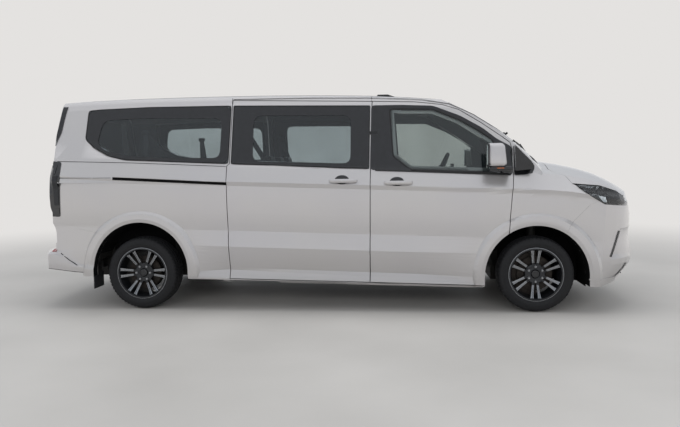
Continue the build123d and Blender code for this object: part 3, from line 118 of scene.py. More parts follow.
# Two tones of one surface, its grain and how deep that is in mm, roughness from and to, and the shader's own values.
surfaceLooks = {
    # Moulded in a polished tool: black with sharp reflections.
    "gloss black ABS": ("#0b0c0f", "#15161a", 30, 0.05, 0.08, 0.16,
                        {"IOR": 1.5, "Coat Weight": 0.5, "Coat Roughness": 0.03}),
    # A spark-eroded grain that scatters the light.
    "grained polypropylene": ("#121214", "#202124", 5, 0.5, 0.5, 0.7, {"IOR": 1.49}),
    # Pressed felt in the arches: almost black, no shine.
    "felted liner": ("#060606", "#0f0f10", 9, 1.2, 0.85, 1.0, {"IOR": 1.4, "Specular IOR Level": 0.2}),
    # Extruded seals: a dull black skin.
    "EPDM rubber": ("#0a0a0b", "#161617", 6, 0.3, 0.55, 0.75, {"IOR": 1.52}),
    # The dashboard's skin, with a fine leather grain.
    "slush moulded PVC": ("#17181b", "#26282c", 4, 0.5, 0.55, 0.7, {"IOR": 1.5}),
    # Door and pillar trim in a lighter grey.
    "grey moulded trim": ("#3a3c40", "#4c4f54", 4, 0.4, 0.55, 0.7, {"IOR": 1.5}),
    # Needled polyester roof lining: a pale, dull fleece.
    "needled headlining": ("#6c6d6b", "#8b8c89", 6, 0.8, 0.9, 1.0, {"Sheen Weight": 0.3, "Specular IOR Level": 0.2}),
    # Tufted carpet: dark tufts that catch no highlight.
    "tufted carpet": ("#151516", "#2a2a2c", 6, 2.5, 0.9, 1.0, {"Sheen Weight": 0.4, "Specular IOR Level": 0.2}),
    # Satin black dip coat with patches of road dust.
    "dip coated steel": ("#0c0c0c", "#1c1b19", 60, 0.6, 0.45, 0.75, {"Metallic": 0.2}),
    # As cast, dull, with a thin bloom of rust.
    "cast iron": ("#2c2927", "#45403c", 8, 0.8, 0.45, 0.65, {"Metallic": 0.9}),
    # Cast aluminium under dark grey paint and lacquer.
    "painted alloy": ("#1e2023", "#2b2d31", 10, 0.1, 0.25, 0.35,
                      {"Metallic": 0.7, "Coat Weight": 0.6, "Coat Roughness": 0.08}),
    # Bright zinc with a faint crystal pattern.
    "zinc plated steel": ("#9a9c9f", "#c3c5c8", 4, 0.1, 0.2, 0.35, {"Metallic": 1.0}),
    # Vapour-metallised plastic inside a lamp: a clean mirror.
    "metallised reflector": ("#c9ccd1", "#eef1f5", 25, 0.3, 0.05, 0.12, {"Metallic": 1.0}),
    # Silvered float glass: an even, cool mirror.
    "silvered glass": ("#dfe3e6", "#eef1f3", 200, 0.02, 0.01, 0.03, {"Metallic": 1.0}),
    # Opal light guides: milky white.
    "opal polycarbonate": ("#e6eaee", "#f7f9fb", 40, 0.05, 0.2, 0.3, {"IOR": 1.58, "Coat Weight": 0.6}),
    # Moulded red lens with a fine prism pattern.
    "red PMMA": ("#5b0509", "#8f0b10", 14, 0.25, 0.08, 0.14, {"IOR": 1.49, "Coat Weight": 1.0, "Coat Roughness": 0.03}),
    # Moulded amber lens.
    "amber PMMA": ("#a34a06", "#d8740d", 14, 0.25, 0.1, 0.16, {"IOR": 1.49, "Coat Weight": 1.0}),
    # Lamp cover with a black back: deep gloss.
    "smoked PMMA": ("#07080a", "#101217", 40, 0.05, 0.04, 0.08,
                    {"IOR": 1.49, "Coat Weight": 1.0, "Coat Roughness": 0.02}),
    # Ribbed polyester webbing: a soft grey sheen.
    "belt webbing": ("#1b1c1f", "#303236", 3, 0.6, 0.6, 0.8, {"Sheen Weight": 0.2}),
}
materials = {}
for name, (dark, light, grainMm, deepMm, roughLow, roughHigh, values) in surfaceLooks.items():
    material, tree, shader, place = newMaterial(name, values)
    noise = addNode(tree, "TexNoise", values={"Scale": 1000 / grainMm, "Detail": 4.0}, links={"Vector": place})
    dress(tree, shader, noise, [(0.3, dark), (0.7, light)], (roughLow, roughHigh), (0.6, deepMm))
    materials[name] = material

# Two-stage metallic paint: aluminium flakes in a warm silver base under a clear coat, with road dust low down.
# The flakes are about 0.05 mm; they are drawn 3 mm wide so that they still show as a fine sparkle.
coat = {"base": "#c5c3c1", "shade": "#bfbdc0", "cloud": 1.5, "flakeMm": 3.0, "flakeRough": (0.28, 0.33),
        "peelMm": 12.0, "peelBump": 0.04, "dust": "#6f6a64", "dustFrom": 0.15, "dustTo": 0.55, "dustMost": 0.35}
material, tree, shader, place = newMaterial("silver metallic clear coat", {
    "Metallic": 0.78, "Coat Weight": 1.0, "Coat Roughness": 0.04, "Coat IOR": 1.5})
cloud = addNode(tree, "TexNoise", values={"Scale": coat["cloud"], "Detail": 2.0}, links={"Vector": place})
tone = addNode(tree, "Mix", {"data_type": "RGBA"}, links={0: cloud},
               values={6: hexLinear(coat["base"]), 7: hexLinear(coat["shade"])})
height = addNode(tree, "SeparateXYZ", links={"Vector": place})
low = addNode(tree, "MapRange", links={"Value": height.outputs["Z"]}, values={
    "From Min": coat["dustFrom"], "From Max": coat["dustTo"], "To Min": coat["dustMost"], "To Max": 0.0})
dusty = addNode(tree, "Mix", {"data_type": "RGBA"}, links={0: low, 6: tone.outputs[2]},
                values={7: hexLinear(coat["dust"])})
flakes = addNode(tree, "TexVoronoi", values={"Scale": 1000 / coat["flakeMm"]}, links={"Vector": place})
rough = addNode(tree, "MapRange", links={"Value": flakes.outputs["Color"]},
                values=dict(zip(("To Min", "To Max"), coat["flakeRough"])))
peel = addNode(tree, "TexNoise", values={"Scale": 1000 / coat["peelMm"]}, links={"Vector": place})
peelBump = addNode(tree, "Bump", values={"Strength": coat["peelBump"], "Distance": 0.001},
                   links={"Height": peel})
linkTo(shader, {"Base Color": dusty.outputs[2], "Roughness": rough, "Normal": peelBump})
materials["paint"] = material

# Float glass, green in front and dark grey behind, and clear lenses: each mirrors a little and lets light through.
glassLooks = {
    "green tinted glass": {"tint": "#e4e8e7", "body": "#5d6b70", "clear": 0.965, "rough": 0.0},
    "privacy glass": {"tint": "#e4e9ea", "body": "#2c3742", "clear": 0.955, "rough": 0.0},
    "clear polycarbonate": {"tint": "#f8fafb", "body": "#c9d0d6", "clear": 0.985, "rough": 0.02},
}
for name, look in glassLooks.items():
    values = {"Roughness": 0.05, "IOR": 1.5, "Base Color": hexLinear(look["body"])}
    material, tree, body, place = newMaterial(name, values)
    haze = addNode(tree, "TexNoise", values={"Scale": 3.0, "Detail": 3.0}, links={"Vector": place})
    tint = setStops(addNode(tree, "ValToRGB", links={"Fac": haze}),
                    [(0.2, hexLinear(look["tint"], 0.92)), (0.8, look["tint"])])
    through = addNode(tree, "BsdfTransparent", links={"Color": tint})
    mirror = addNode(tree, "BsdfGlossy", values={"Roughness": look["rough"], "Color": (1, 1, 1, 1)})
    edge = addNode(tree, "Fresnel", values={"IOR": 1.5})
    film = addNode(tree, "MixShader", values={0: look["clear"]}, links={1: body, 2: through})
    blend = addNode(tree, "MixShader", links={0: edge, 1: film, 2: mirror})
    linkTo(tree.nodes["Material Output"], {"Surface": blend})
    materials[name] = material

# Vulcanised tyre rubber: carbon black with a grey bloom and a film of road dust.
material, tree, shader, place = newMaterial("vulcanised rubber", {"IOR": 1.52, "Specular IOR Level": 0.35})
noise = addNode(tree, "TexNoise", values={"Scale": 60.0, "Detail": 6.0}, links={"Vector": place})
dress(tree, shader, noise, [(0.35, "#101012"), (0.75, "#1c1d1f")], (0.55, 0.8), (0.3, 0.6))
materials["tyre"] = material

# Diamond-turned alloy: concentric cutting lines, bright, under lacquer. The lines are 0.2 mm; drawn 2 mm apart.
material, tree, shader, place = newMaterial("diamond turned alloy", {
    "Metallic": 1.0, "Anisotropic": 0.5, "Coat Weight": 0.5, "Coat Roughness": 0.05})
lines = addNode(tree, "TexNoise", values={"Scale": 500.0, "Detail": 2.0}, links={"Vector": place})
dress(tree, shader, lines, [(0.3, "#84878b"), (0.7, "#a6a9ad")], (0.2, 0.34))
materials["turned alloy"] = material

# Woven polyester seat cloth: threads 1.5 mm apart, drawn 5 mm so that the weave shows, with a soft sheen.
material, tree, shader, place = newMaterial("woven polyester", {
    "Roughness": 0.9, "Sheen Weight": 0.35, "Sheen Roughness": 0.4, "Specular IOR Level": 0.25})
warp, weft = (addNode(tree, "TexWave", {"bands_direction": way}, {"Scale": 31.0, "Distortion": 0.6},
                      {"Vector": place}) for way in ("X", "Z"))
weave = addNode(tree, "Math", {"operation": "MULTIPLY"}, links={0: warp.outputs["Fac"], 1: weft.outputs["Fac"]})
dress(tree, shader, weave, [(0.0, "#1b1c1f"), (1.0, "#34363b")], bump=(0.5, 1.0))
materials["seat cloth"] = material
print("materials:", len(materials))


# Making and placing pieces.
def placePiece(bm, name, slot, *finishes, body="body", angle=40, replaced=(), outward=True):
    # Closes the seams, turns the faces outwards and hands the piece to its body.
    if outward:
        bmesh.ops.remove_doubles(bm, verts=bm.verts, dist=0.00002)
        bmesh.ops.recalc_face_normals(bm, faces=bm.faces)
    mesh = bpy.data.meshes.new(name)
    bm.to_mesh(mesh)
    bm.free()
    for finish in finishes:
        mesh.materials.append(materials[finish])
    mesh.shade_smooth()
    mesh.set_sharp_from_angle(angle=math.radians(angle))
    piece = bpy.data.objects.new(name, mesh)
    scene.collection.objects.link(piece)
    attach(piece, body)
    if replaced:
        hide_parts(*replaced)
    return piece


def block(bm, low, high, bevel=0.0, segments=2, finish=0):
    made = bmesh.ops.create_cube(bm, size=1.0)["verts"]
    low, high = Vector(low), Vector(high)
    bmesh.ops.scale(bm, vec=high - low, verts=made)
    bmesh.ops.translate(bm, vec=(low + high) / 2, verts=made)
    for face in {f for v in made for f in v.link_faces}:
        face.material_index = finish
    if bevel:
        edges = list({e for v in made for e in v.link_edges})
        bmesh.ops.bevel(bm, geom=edges, offset=bevel, offset_type="OFFSET", segments=segments, profile=0.5,
                        affect="EDGES", clamp_overlap=True, material=-1)


def tube(bm, start, end, radius, sides=16, finish=0, taper=1.0):
    start, end = Vector(start), Vector(end)
    place = Matrix.Translation((start + end) / 2) @ (end - start).to_track_quat("Z", "Y").to_matrix().to_4x4()
    made = bmesh.ops.create_cone(bm, cap_ends=True, segments=sides, radius1=radius, radius2=radius * taper,
                                 depth=(end - start).length, matrix=place)["verts"]
    for face in {f for v in made for f in v.link_faces}:
        face.material_index = finish


def plate(bm, points, direction):
    # A flat outline pulled along a direction.
    face = bm.faces.new([bm.verts.new(p) for p in points])
    pulled = bmesh.ops.extrude_face_region(bm, geom=[face])["geom"]
    bmesh.ops.translate(bm, vec=direction, verts=[g for g in pulled if isinstance(g, bmesh.types.BMVert)])


def ringLoft(bm, rings, finish=0):
    # Closed rings joined one to the next, with both ends filled.
    loops = []
    for ring in rings:
        verts = [bm.verts.new(p) for p in ring]
        loops.append([bm.edges.new(pair) for pair in zip(verts, verts[1:] + verts[:1])])
    faces = []
    for first, second in zip(loops, loops[1:]):
        faces += bmesh.ops.bridge_loops(bm, edges=first + second)["faces"]
    for loop in (loops[0], loops[-1]):
        faces += bmesh.ops.holes_fill(bm, edges=loop, sides=0)["faces"]
    for face in faces:
        face.material_index = finish


def spinProfile(bm, points, steps, axis=(0, 1, 0)):
    # Points turned once about an axis through the origin.
    verts = [bm.verts.new(p) for p in points]
    edges = [bm.edges.new(pair) for pair in zip(verts, verts[1:])]
    bmesh.ops.spin(bm, geom=verts + edges, cent=(0, 0, 0), axis=axis, angle=2 * math.pi, steps=steps, use_merge=True)


def onRadius(points):
    # A wheel's profile of y and radius as points in space.
    return [(0, y, r) for y, r in points]


def onSide(bm, side):
    # A piece drawn on the left: as it is, or turned into its mirror image for the right.
    if side < 0:
        bmesh.ops.scale(bm, vec=(1, -1, 1), verts=bm.verts)
        bmesh.ops.reverse_faces(bm, faces=bm.faces)
    return bm


def bothSides(bm):
    # Adds the mirror image to the same mesh.
    made = bmesh.ops.duplicate(bm, geom=bm.verts[:] + bm.edges[:] + bm.faces[:])["geom"]
    bmesh.ops.scale(bm, vec=(1, -1, 1), verts=[g for g in made if isinstance(g, bmesh.types.BMVert)])
    bmesh.ops.reverse_faces(bm, faces=[g for g in made if isinstance(g, bmesh.types.BMFace)])
    return bm


def clamp(value):
    return min(1.0, max(0.0, value))


def along(table, at):
    for (a0, b0), (a1, b1) in zip(table, table[1:]):
        if a0 <= at <= a1:
            return b0 + (b1 - b0) * (at - a0) / (a1 - a0)
    return table[-1][1]


# The nose: how far it is drawn back in mm at each height, most at its chin and below the lamps. The air curtain's slot
# starts at a point and leans; ahead of it the corner is set in. The lip is the chin's lower edge, rising forwards.
noseLook = {"from": 2.19, "start": 2.33, "over": 0.3,
            "back": [(0.15, 130), (0.244, 108), (0.3, 76), (0.372, 19), (0.41, 0), (0.51, 0), (0.56, 9), (0.62, 20),
                     (0.7, 15), (0.82, 15), (0.9, 26), (0.95, 34), (1.02, 0), (3.0, 0)],
            "slotX": 2.414, "slotZ": 0.472, "slotLean": 0.425, "slotLow": 0.45, "slotHigh": 0.71, "slotEdge": 0.012,
            "setIn": 0.016, "lipX": 2.35, "lipZ": 0.232, "lipRise": 0.1}
# The tail: its middle is drawn in and its lower lip stands out, in mm by height; below the step the flank stands out.
tailLook = {"start": -2.3, "over": 0.25, "stepOut": 0.012, "stepFrom": -2.05, "stepSide": 0.8,
            "out": [(0.0, 20), (0.3, 30), (0.37, 46), (0.5, 46), (0.522, 30), (0.535, -30), (0.7, -30), (0.74, -22),
                    (0.79, 0), (3.0, 0)],
            "step": [(-2.8, 0.53), (-2.489, 0.516), (-2.32, 0.403), (-2.04, 0.38)]}


def noseShape(co):
    look = noseLook
    if co.x < look["from"]:
        return
    co.x -= along(look["back"], co.z) / 1000 * clamp((co.x - look["start"]) / look["over"])
    slot = look["slotX"] + (co.z - look["slotZ"]) * look["slotLean"]
    if look["slotLow"] < co.z < look["slotHigh"] and abs(co.y) > 0.4:
        share = clamp((co.x - slot) / look["slotEdge"])
        share *= min(1.0, (look["slotHigh"] - co.z) / 0.015, (co.z - look["slotLow"]) / 0.04)
        co.y -= math.copysign(look["setIn"] * share, co.y)
    co.z = max(co.z, look["lipZ"] + look["lipRise"] * max(0.0, co.x - look["lipX"]))


def tailShape(co):
    look = tailLook
    share = clamp((look["start"] - co.x) / look["over"])
    if co.x < look["stepFrom"] and abs(co.y) > look["stepSide"]:
        low = clamp((along(look["step"], co.x) - co.z) / look["stepOut"])
        co.y += math.copysign(look["stepOut"] * low, co.y)
    co.x -= along(look["out"], co.z) / 1000 * share


def flatCuts(*heights):
    return [((0, 0, z), (0, 0, 1)) for z in heights]


def crossCuts(*places):
    return [((x, 0, 0), (1, 0, 0)) for x in places]


# Cuts fine enough for the nose and the tail to be drawn in smoothly.
noseCuts = flatCuts(*(0.24 + 0.055 * k for k in range(14))) + crossCuts(2.33, 2.43, 2.53, 2.63)
noseCuts += [((noseLook["slotX"] + gap, 0, noseLook["slotZ"]), (1, 0, -noseLook["slotLean"]))
             for gap in (0.0, noseLook["slotEdge"])] + flatCuts(0.45, 0.49, 0.695, 0.71)
tailCuts = flatCuts(0.34, 0.37, 0.42, 0.47, 0.505, 0.522, 0.535, 0.56, 0.62, 0.68, 0.74, 0.77)
tailCuts += crossCuts(-2.12, -2.2, -2.3, -2.38, -2.46, -2.54, -2.6)
tailCuts += [((-2.489, 0, 0.516 - gap), (0.113, 0, -0.169)) for gap in (0.0, 0.014)]
drawnIn = {"front_bumper": (noseCuts, noseShape), "grille": (noseCuts, noseShape), "headlamps": (noseCuts, noseShape),
           "rear_bumper": (tailCuts, tailShape)}


def drawIn(bm, node):
    cuts, shape = drawnIn[node]
    for point, normal in cuts:
        bmesh.ops.bisect_plane(bm, geom=bm.verts[:] + bm.edges[:] + bm.faces[:], plane_co=point, plane_no=normal)
    for v in bm.verts:
        shape(v.co)
    bm.normal_update()


# Everything that trim is laid on, as one skin to be measured with rays.
whole = bmesh.new()
hold = bpy.data.meshes.new("hold")
for node in ("body_shell", "door_front_left", "door_slide_left", "wing_left", "front_bumper", "rear_bumper",
             "glass_front_left", "glass_rear_side", "headlamps", "tail_lamps", "bonnet", "windscreen", "tailgate",
             "glass_tailgate", "grille"):
    part = bmesh.new()
    part.from_mesh(nodes[node].data)
    if node in drawnIn:
        drawIn(part, node)
    part.to_mesh(hold)
    part.free()
    whole.from_mesh(hold)
skinTree = BVHTree.FromBMesh(whole)
whole.free()


def around(near=0.008):
    # A few rays close by step over shut lines.
    return (0, 0), (near, 0), (-near, 0), (0, near), (0, -near)


def castRay(start, way):
    return skinTree.ray_cast(Vector(start), Vector(way))[0]


def sideY(x, z, near=0.008):
    # The outermost skin of the left side.
    hits = [castRay((x + dx, 1.4, z + dz), (0, -1, 0)) for dx, dz in around(near)]
    return max([0.0] + [hit.y for hit in hits if hit])


def endX(y, z, way):
    hits = [castRay((3.2 * way, y + dy, z + dz), (-way, 0, 0)) for dy, dz in around()]
    return way * max([way * hit.x for hit in hits if hit], default=0.0)


def noseX(y, z):
    return endX(y, z, 1)


def tailX(y, z):
    return endX(y, z, -1)


def topZ(x, y):
    hit = castRay((x, y, 2.6), (0, 0, -1))
    return hit.z if hit else 0.0


def roundedLoop(points, radius, steps=4):
    # Corner points of a flat outline, each rounded off by a short curve.
    rounded = []
    for i, corner in enumerate(points):
        corner = Vector(corner)
        before = Vector(points[i - 1]) - corner
        after = Vector(points[(i + 1) % len(points)]) - corner
        reach = min(radius, 0.45 * before.length, 0.45 * after.length)
        a, b = corner + before.normalized() * reach, corner + after.normalized() * reach
        for k in range(steps + 1):
            t = k / steps
            rounded.append(tuple((1 - t) ** 2 * a + 2 * t * (1 - t) * corner + t ** 2 * b))
    return rounded


def shrink(points, amount):
    # A flat outline moved inwards; a negative amount moves it outwards.
    count = len(points)
    area = sum(points[i - 1][0] * points[i][1] - points[i][0] * points[i - 1][1] for i in range(count))
    way = amount if area > 0 else -amount
    moved = []
    for i, point in enumerate(points):
        a, b, c = Vector(points[i - 1]), Vector(point), Vector(points[(i + 1) % count])
        first, second = (b - a).normalized(), (c - b).normalized()
        n1, n2 = Vector((-first.y, first.x)), Vector((-second.y, second.x))
        moved.append(tuple(b + (n1 + n2) / (1 + max(n1.dot(n2), -0.5)) * way))
    return moved


def sidePatch(bm, outline, holes=(), lift=0.001, thick=0.002, grain=0.06, finish=0, place=sideY):
    # A thin sheet cut to an outline in x and z that follows the skin of the left side.
    sheet = bmesh.new()
    for loop in [outline, *holes]:
        verts = [sheet.verts.new((x, 0, z)) for x, z in loop]
        for pair in zip(verts, verts[1:] + verts[:1]):
            sheet.edges.new(pair)
    bmesh.ops.triangle_fill(sheet, use_beauty=True, use_dissolve=False, edges=sheet.edges)
    for turn in range(5):
        long = [e for e in sheet.edges if e.calc_length() > grain]
        if not long:
            break
        bmesh.ops.subdivide_edges(sheet, edges=long, cuts=1)
        bmesh.ops.triangulate(sheet, faces=sheet.faces)
    for v in sheet.verts:
        v.co.y = place(v.co.x, v.co.z) + lift
    bmesh.ops.recalc_face_normals(sheet, faces=sheet.faces)
    if sum(f.normal.y for f in sheet.faces) < 0:
        bmesh.ops.reverse_faces(sheet, faces=sheet.faces)
    bmesh.ops.solidify(sheet, geom=sheet.faces, thickness=thick)
    for face in sheet.faces:
        face.material_index = finish
    sheet.to_mesh(hold)
    sheet.free()
    bm.from_mesh(hold)


def sideStrip(bm, points, width, lift=0.001, thick=0.002, finish=0, step=0.05, inset=0.0):
    # A narrow ribbon along a line in x and z on the left side.
    path = []
    for (x0, z0), (x1, z1) in zip(points, points[1:]):
        count = max(1, round(math.dist((x0, z0), (x1, z1)) / step))
        path += [(x0 + (x1 - x0) * k / count, z0 + (z1 - z0) * k / count) for k in range(count)]
    path.append(points[-1])
    rings = []
    for i, (x, z) in enumerate(path):
        xa, za = path[max(i - 1, 0)]
        xb, zb = path[min(i + 1, len(path) - 1)]
        length = math.dist((xa, za), (xb, zb))
        nx, nz = -(zb - za) / length * width / 2, (xb - xa) / length * width / 2
        low, high = (x - nx, z - nz), (x + nx, z + nz)
        yLow, yHigh = sideY(*low) + lift, sideY(*high) + lift
        rings.append([(low[0], yLow - thick - inset, low[1]), (low[0], yLow, low[1]),
                      (high[0], yHigh, high[1]), (high[0], yHigh - thick - inset, high[1])])
    ringLoft(bm, rings, finish)


def roundStrip(bm, loop, width, lift, thick, finish=0):
    sideStrip(bm, loop + loop[:1], width, lift, thick, finish)


print("tools ready")

# The camera's place, its turn in degrees and its lens.
view = {"place": (0.6518, -6.7439, 1.2793), "yaw": -5.57, "pitch": -4.099, "roll": -0.679, "lens": 35.09}
yaw, pitch, roll = (math.radians(view[k]) for k in ("yaw", "pitch", "roll"))
ahead = Vector((math.sin(yaw) * math.cos(pitch), math.cos(yaw) * math.cos(pitch), math.sin(pitch)))
right = Vector((math.cos(yaw), -math.sin(yaw), 0))
upward = right.cross(ahead)
camera = bpy.data.objects.new("camera", bpy.data.cameras.new("camera"))
scene.collection.objects.link(camera)
camera.data.lens = view["lens"]
camera.data.sensor_width = 36.0
camera.data.clip_end = 200.0
turn = Matrix((math.cos(roll) * right + math.sin(roll) * upward, -math.sin(roll) * right + math.cos(roll) * upward,
               -ahead)).transposed().to_4x4()
camera.matrix_world = Matrix.Translation(view["place"]) @ turn
scene.camera = camera
scene.view_settings.view_transform = "Standard"

# Polished concrete: faint stains and a soft gloss. Far from the vehicle it runs over into the pale backdrop.
floorLook = {"colour": "#a9a7a4", "worn": "#9d9b98", "size": 60.0, "stain": 0.7, "rough": (0.5, 0.65),
             "backdrop": "#e4e2e0", "fadeFrom": 3.0, "fadeTo": 10.0}
material, tree, shader, place = newMaterial("polished concrete", {"Specular IOR Level": 0.4})
stain = addNode(tree, "TexNoise", values={"Scale": floorLook["stain"], "Detail": 5.0}, links={"Vector": place})
dress(tree, shader, stain, [(0.3, floorLook["worn"]), (0.7, floorLook["colour"])], floorLook["rough"])
farOff = addNode(tree, "VectorMath", {"operation": "LENGTH"}, links={0: place})
fade = addNode(tree, "MapRange", {"interpolation_type": "SMOOTHSTEP"},
               {"From Min": floorLook["fadeFrom"], "From Max": floorLook["fadeTo"]}, {"Value": farOff.outputs["Value"]})
backdrop = addNode(tree, "Emission", values={"Color": hexLinear(floorLook["backdrop"]), "Strength": 1.0})
sweep = addNode(tree, "MixShader", links={0: fade, 1: shader, 2: backdrop})
linkTo(tree.nodes["Material Output"], {"Surface": sweep})
bm = bmesh.new()
bmesh.ops.create_grid(bm, x_segments=8, y_segments=8, size=floorLook["size"])
floorMesh = bpy.data.meshes.new("floor")
bm.to_mesh(floorMesh)
bm.free()
floorMesh.materials.append(material)
floor = bpy.data.objects.new("floor", floorMesh)
scene.collection.objects.link(floor)
floor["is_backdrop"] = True

# Plain soft studio light: an even sky, brighter overhead, white where the camera sees it or looks through glass.
sky = {"bands": [(0.0, "#b4b2b0"), (0.16, "#d9d9da"), (0.34, "#b7babf"), (0.6, "#c1c4c8"), (1.0, "#d8dade")],
       "strength": 1.15}
world = bpy.data.worlds.new("studio")
scene.world = world
world.use_nodes = True
tree = world.node_tree
way = addNode(tree, "TexCoord")
parts = addNode(tree, "SeparateXYZ", links={"Vector": way.outputs["Generated"]})
rise = addNode(tree, "MapRange", values={"From Min": -0.1, "From Max": 0.9}, links={"Value": parts.outputs["Z"]})
glow = tree.nodes["Background"]
linkTo(glow, {"Color": setStops(addNode(tree, "ValToRGB", links={"Fac": rise}), sky["bands"])})
glow.inputs["Strength"].default_value = sky["strength"]
white = addNode(tree, "Background", values={"Color": hexLinear(floorLook["backdrop"]), "Strength": 1.0})
ray = addNode(tree, "LightPath")
seen = addNode(tree, "Math", {"operation": "MAXIMUM"},
               links={0: ray.outputs["Is Camera Ray"], 1: ray.outputs["Is Transmission Ray"]})
pick = addNode(tree, "MixShader", links={0: seen, 1: glow, 2: white})
linkTo(tree.nodes["World Output"], {"Surface": pick})

# Each lamp's place, size and watts; each faces the middle of the vehicle.
lamps = {
    "overhead": ((0.0, -0.4, 5.6), (7.0, 2.4), 230),
    "sideSoft": ((0.5, -8.5, 3.0), (9.0, 1.6), 300),
    "farSoft": ((-0.5, 7.0, 4.4), (7.0, 1.8), 120),
    "noseSoft": ((6.5, -2.0, 3.6), (3.0, 2.0), 80),
    "tailSoft": ((-6.2, -2.6, 3.2), (3.0, 2.0), 70),
}
for name, (spot, size, watts) in lamps.items():
    light = bpy.data.lights.new(name, "AREA")
    light.shape = "RECTANGLE"
    light.size, light.size_y = size
    light.energy = watts
    lamp = bpy.data.objects.new(name, light)
    scene.collection.objects.link(lamp)
    lamp.location = spot
    lamp.rotation_euler = (Vector((0, 0, 0.9)) - Vector(spot)).to_track_quat("-Z", "Y").to_euler()
    lamp.visible_glossy = False
print("stage ready")


# Painted panels. A rule picks each face's finish from its middle and its normal.
def skin(node, name, slot, *finishes, body="body", rule=None, angle=25):
    # The node's own form, welded so that its curved faces shade smoothly.
    bm = bmesh.new()
    bm.from_mesh(nodes[node].data)
    bmesh.ops.remove_doubles(bm, verts=bm.verts, dist=0.00005)
    bmesh.ops.dissolve_degenerate(bm, dist=0.00005, edges=bm.edges)
    if node in drawnIn:
        drawIn(bm, node)
    if rule:
        for face in bm.faces:
            face.material_index = rule(face.calc_center_median(), face.normal)
    placePiece(bm, name, slot, *finishes, body=body, angle=angle, replaced=[node], outward=False)


shellFinishes = ("paint", "felted liner", "dip coated steel", "grey moulded trim", "needled headlining")
paint, liner, steel, trim, lining = range(5)
arches = {"front": (1.775, 0.316), "rear": (-1.725, 0.356), "radius": 0.447, "wingRadius": 0.45, "deep": 0.985}
cabinZone = {"rear": -2.62, "front": 1.5, "roof": 1.72, "roofHalf": 0.86, "wall": 0.94, "floor": 0.6}


def shellRule(c, n):
    zone = cabinZone
    inward = n.y * (1 if c.y > 0 else -1) < -0.3
    for x, z in (arches["front"], arches["rear"]):
        if math.hypot(c.x - x, c.z - z) < arches["radius"] and abs(c.y) < arches["deep"]:
            if n.x * (x - c.x) + n.z * (z - c.z) > 0.05 or abs(n.y) > 0.6:
                return liner
    if c.z < zone["floor"] and n.z < -0.5:
        return steel
    if n.z < -0.4 and c.z > zone["roof"] and abs(c.y) < zone["roofHalf"]:
        return lining
    if inward and abs(c.y) < zone["wall"] and zone["rear"] < c.x < zone["front"]:
        return trim
    if c.x > zone["front"] and (inward or n.z < -0.4 or n.x < -0.6 and c.z < 1.2):
        return steel
    return paint


def doorRule(c, n):
    x, z = arches["front"]
    if n.y * (1 if c.y > 0 else -1) < -0.3:
        return trim
    return liner if math.hypot(c.x - x, c.z - z) < arches["wingRadius"] and abs(n.y) < 0.6 else paint


def panel(node, body, rule):
    skin(node, node + "_panel", "body_paint", *shellFinishes, body=body, rule=rule, angle=7)


panel("body_shell", "body", shellRule)
for sideName, side in sides:
    panel("wing_" + sideName, "body", doorRule)
    panel("door_slide_" + sideName, "body", doorRule)
    panel("door_front_" + sideName, "door_" + sideName, doorRule)
panel("bonnet", "bonnet", lambda c, n: steel if n.z < -0.3 else paint)
panel("tailgate", "tailgate", lambda c, n: trim if n.x > 0.3 else paint)
panel("front_bumper", "body",
      lambda c, n: liner if n.z < -0.85 or n.x < -0.5 or abs(c.y) < 0.88 and n.y * c.y < -0.02 else paint)
panel("rear_bumper", "body", lambda c, n: liner if n.z < -0.5 or n.x > 0.5 or n.y * c.y < -0.3 else paint)
skin("floor_pan", "floor_pan_panel", "steel", "dip coated steel", "tufted carpet", angle=30,
     rule=lambda c, n: 1 if n.z > 0.5 and c.z > 0.49 else 0)
print("panels ready")

# Windows: the outlines of the panes and of the clear part inside their printed border, in x and z.
panes = {
    "quarter": [(-2.244, 1.812), (-2.14, 1.821), (-1.663, 1.834), (-0.904, 1.832), (-0.912, 1.315), (-1.29, 1.331),
                (-1.875, 1.361), (-2.011, 1.394), (-2.16, 1.473), (-2.252, 1.548)],
    "quarterClear": [(-2.095, 1.722), (-1.641, 1.735), (-0.984, 1.722), (-0.99, 1.362), (-1.559, 1.376),
                     (-1.867, 1.397), (-2.061, 1.443), (-2.139, 1.51)],
    "slide": [(-0.876, 1.831), (0.35, 1.808), (0.344, 1.255), (-0.882, 1.313)],
    "slideClear": [(-0.69, 1.738), (0.182, 1.728), (0.182, 1.3), (-0.69, 1.33)],
    "door": [(0.528, 1.774), (0.901, 1.766), (1.126, 1.672), (1.311, 1.564), (1.423, 1.48), (1.453, 1.213),
             (0.708, 1.243), (0.558, 1.358)],
    "doorFrame": [(0.364, 1.812), (0.62, 1.812), (0.905, 1.8), (1.14, 1.708), (1.33, 1.598), (1.452, 1.5),
                  (1.577, 1.43), (1.577, 1.188), (1.3, 1.2), (0.7, 1.226), (0.354, 1.246)],
    "beltLine": [(0.4, 1.242), (0.7, 1.23), (1.3, 1.203), (1.56, 1.192)],
    "clearCorner": 0.07, "inset": 0.004, "printLift": 0.0006, "printThick": 0.0008,
}
skin("glass_rear_side", "rear_side_panes", "dark_glass", "privacy glass", angle=20)
skin("glass_tailgate", "tailgate_pane", "dark_glass", "privacy glass", body="tailgate", angle=20)
skin("windscreen", "windscreen_pane", "clear_glass", "green tinted glass", angle=20)
for sideName, side in sides:
    skin("glass_front_" + sideName, "door_pane_" + sideName, "clear_glass", "green tinted glass",
         body="door_" + sideName, angle=20)

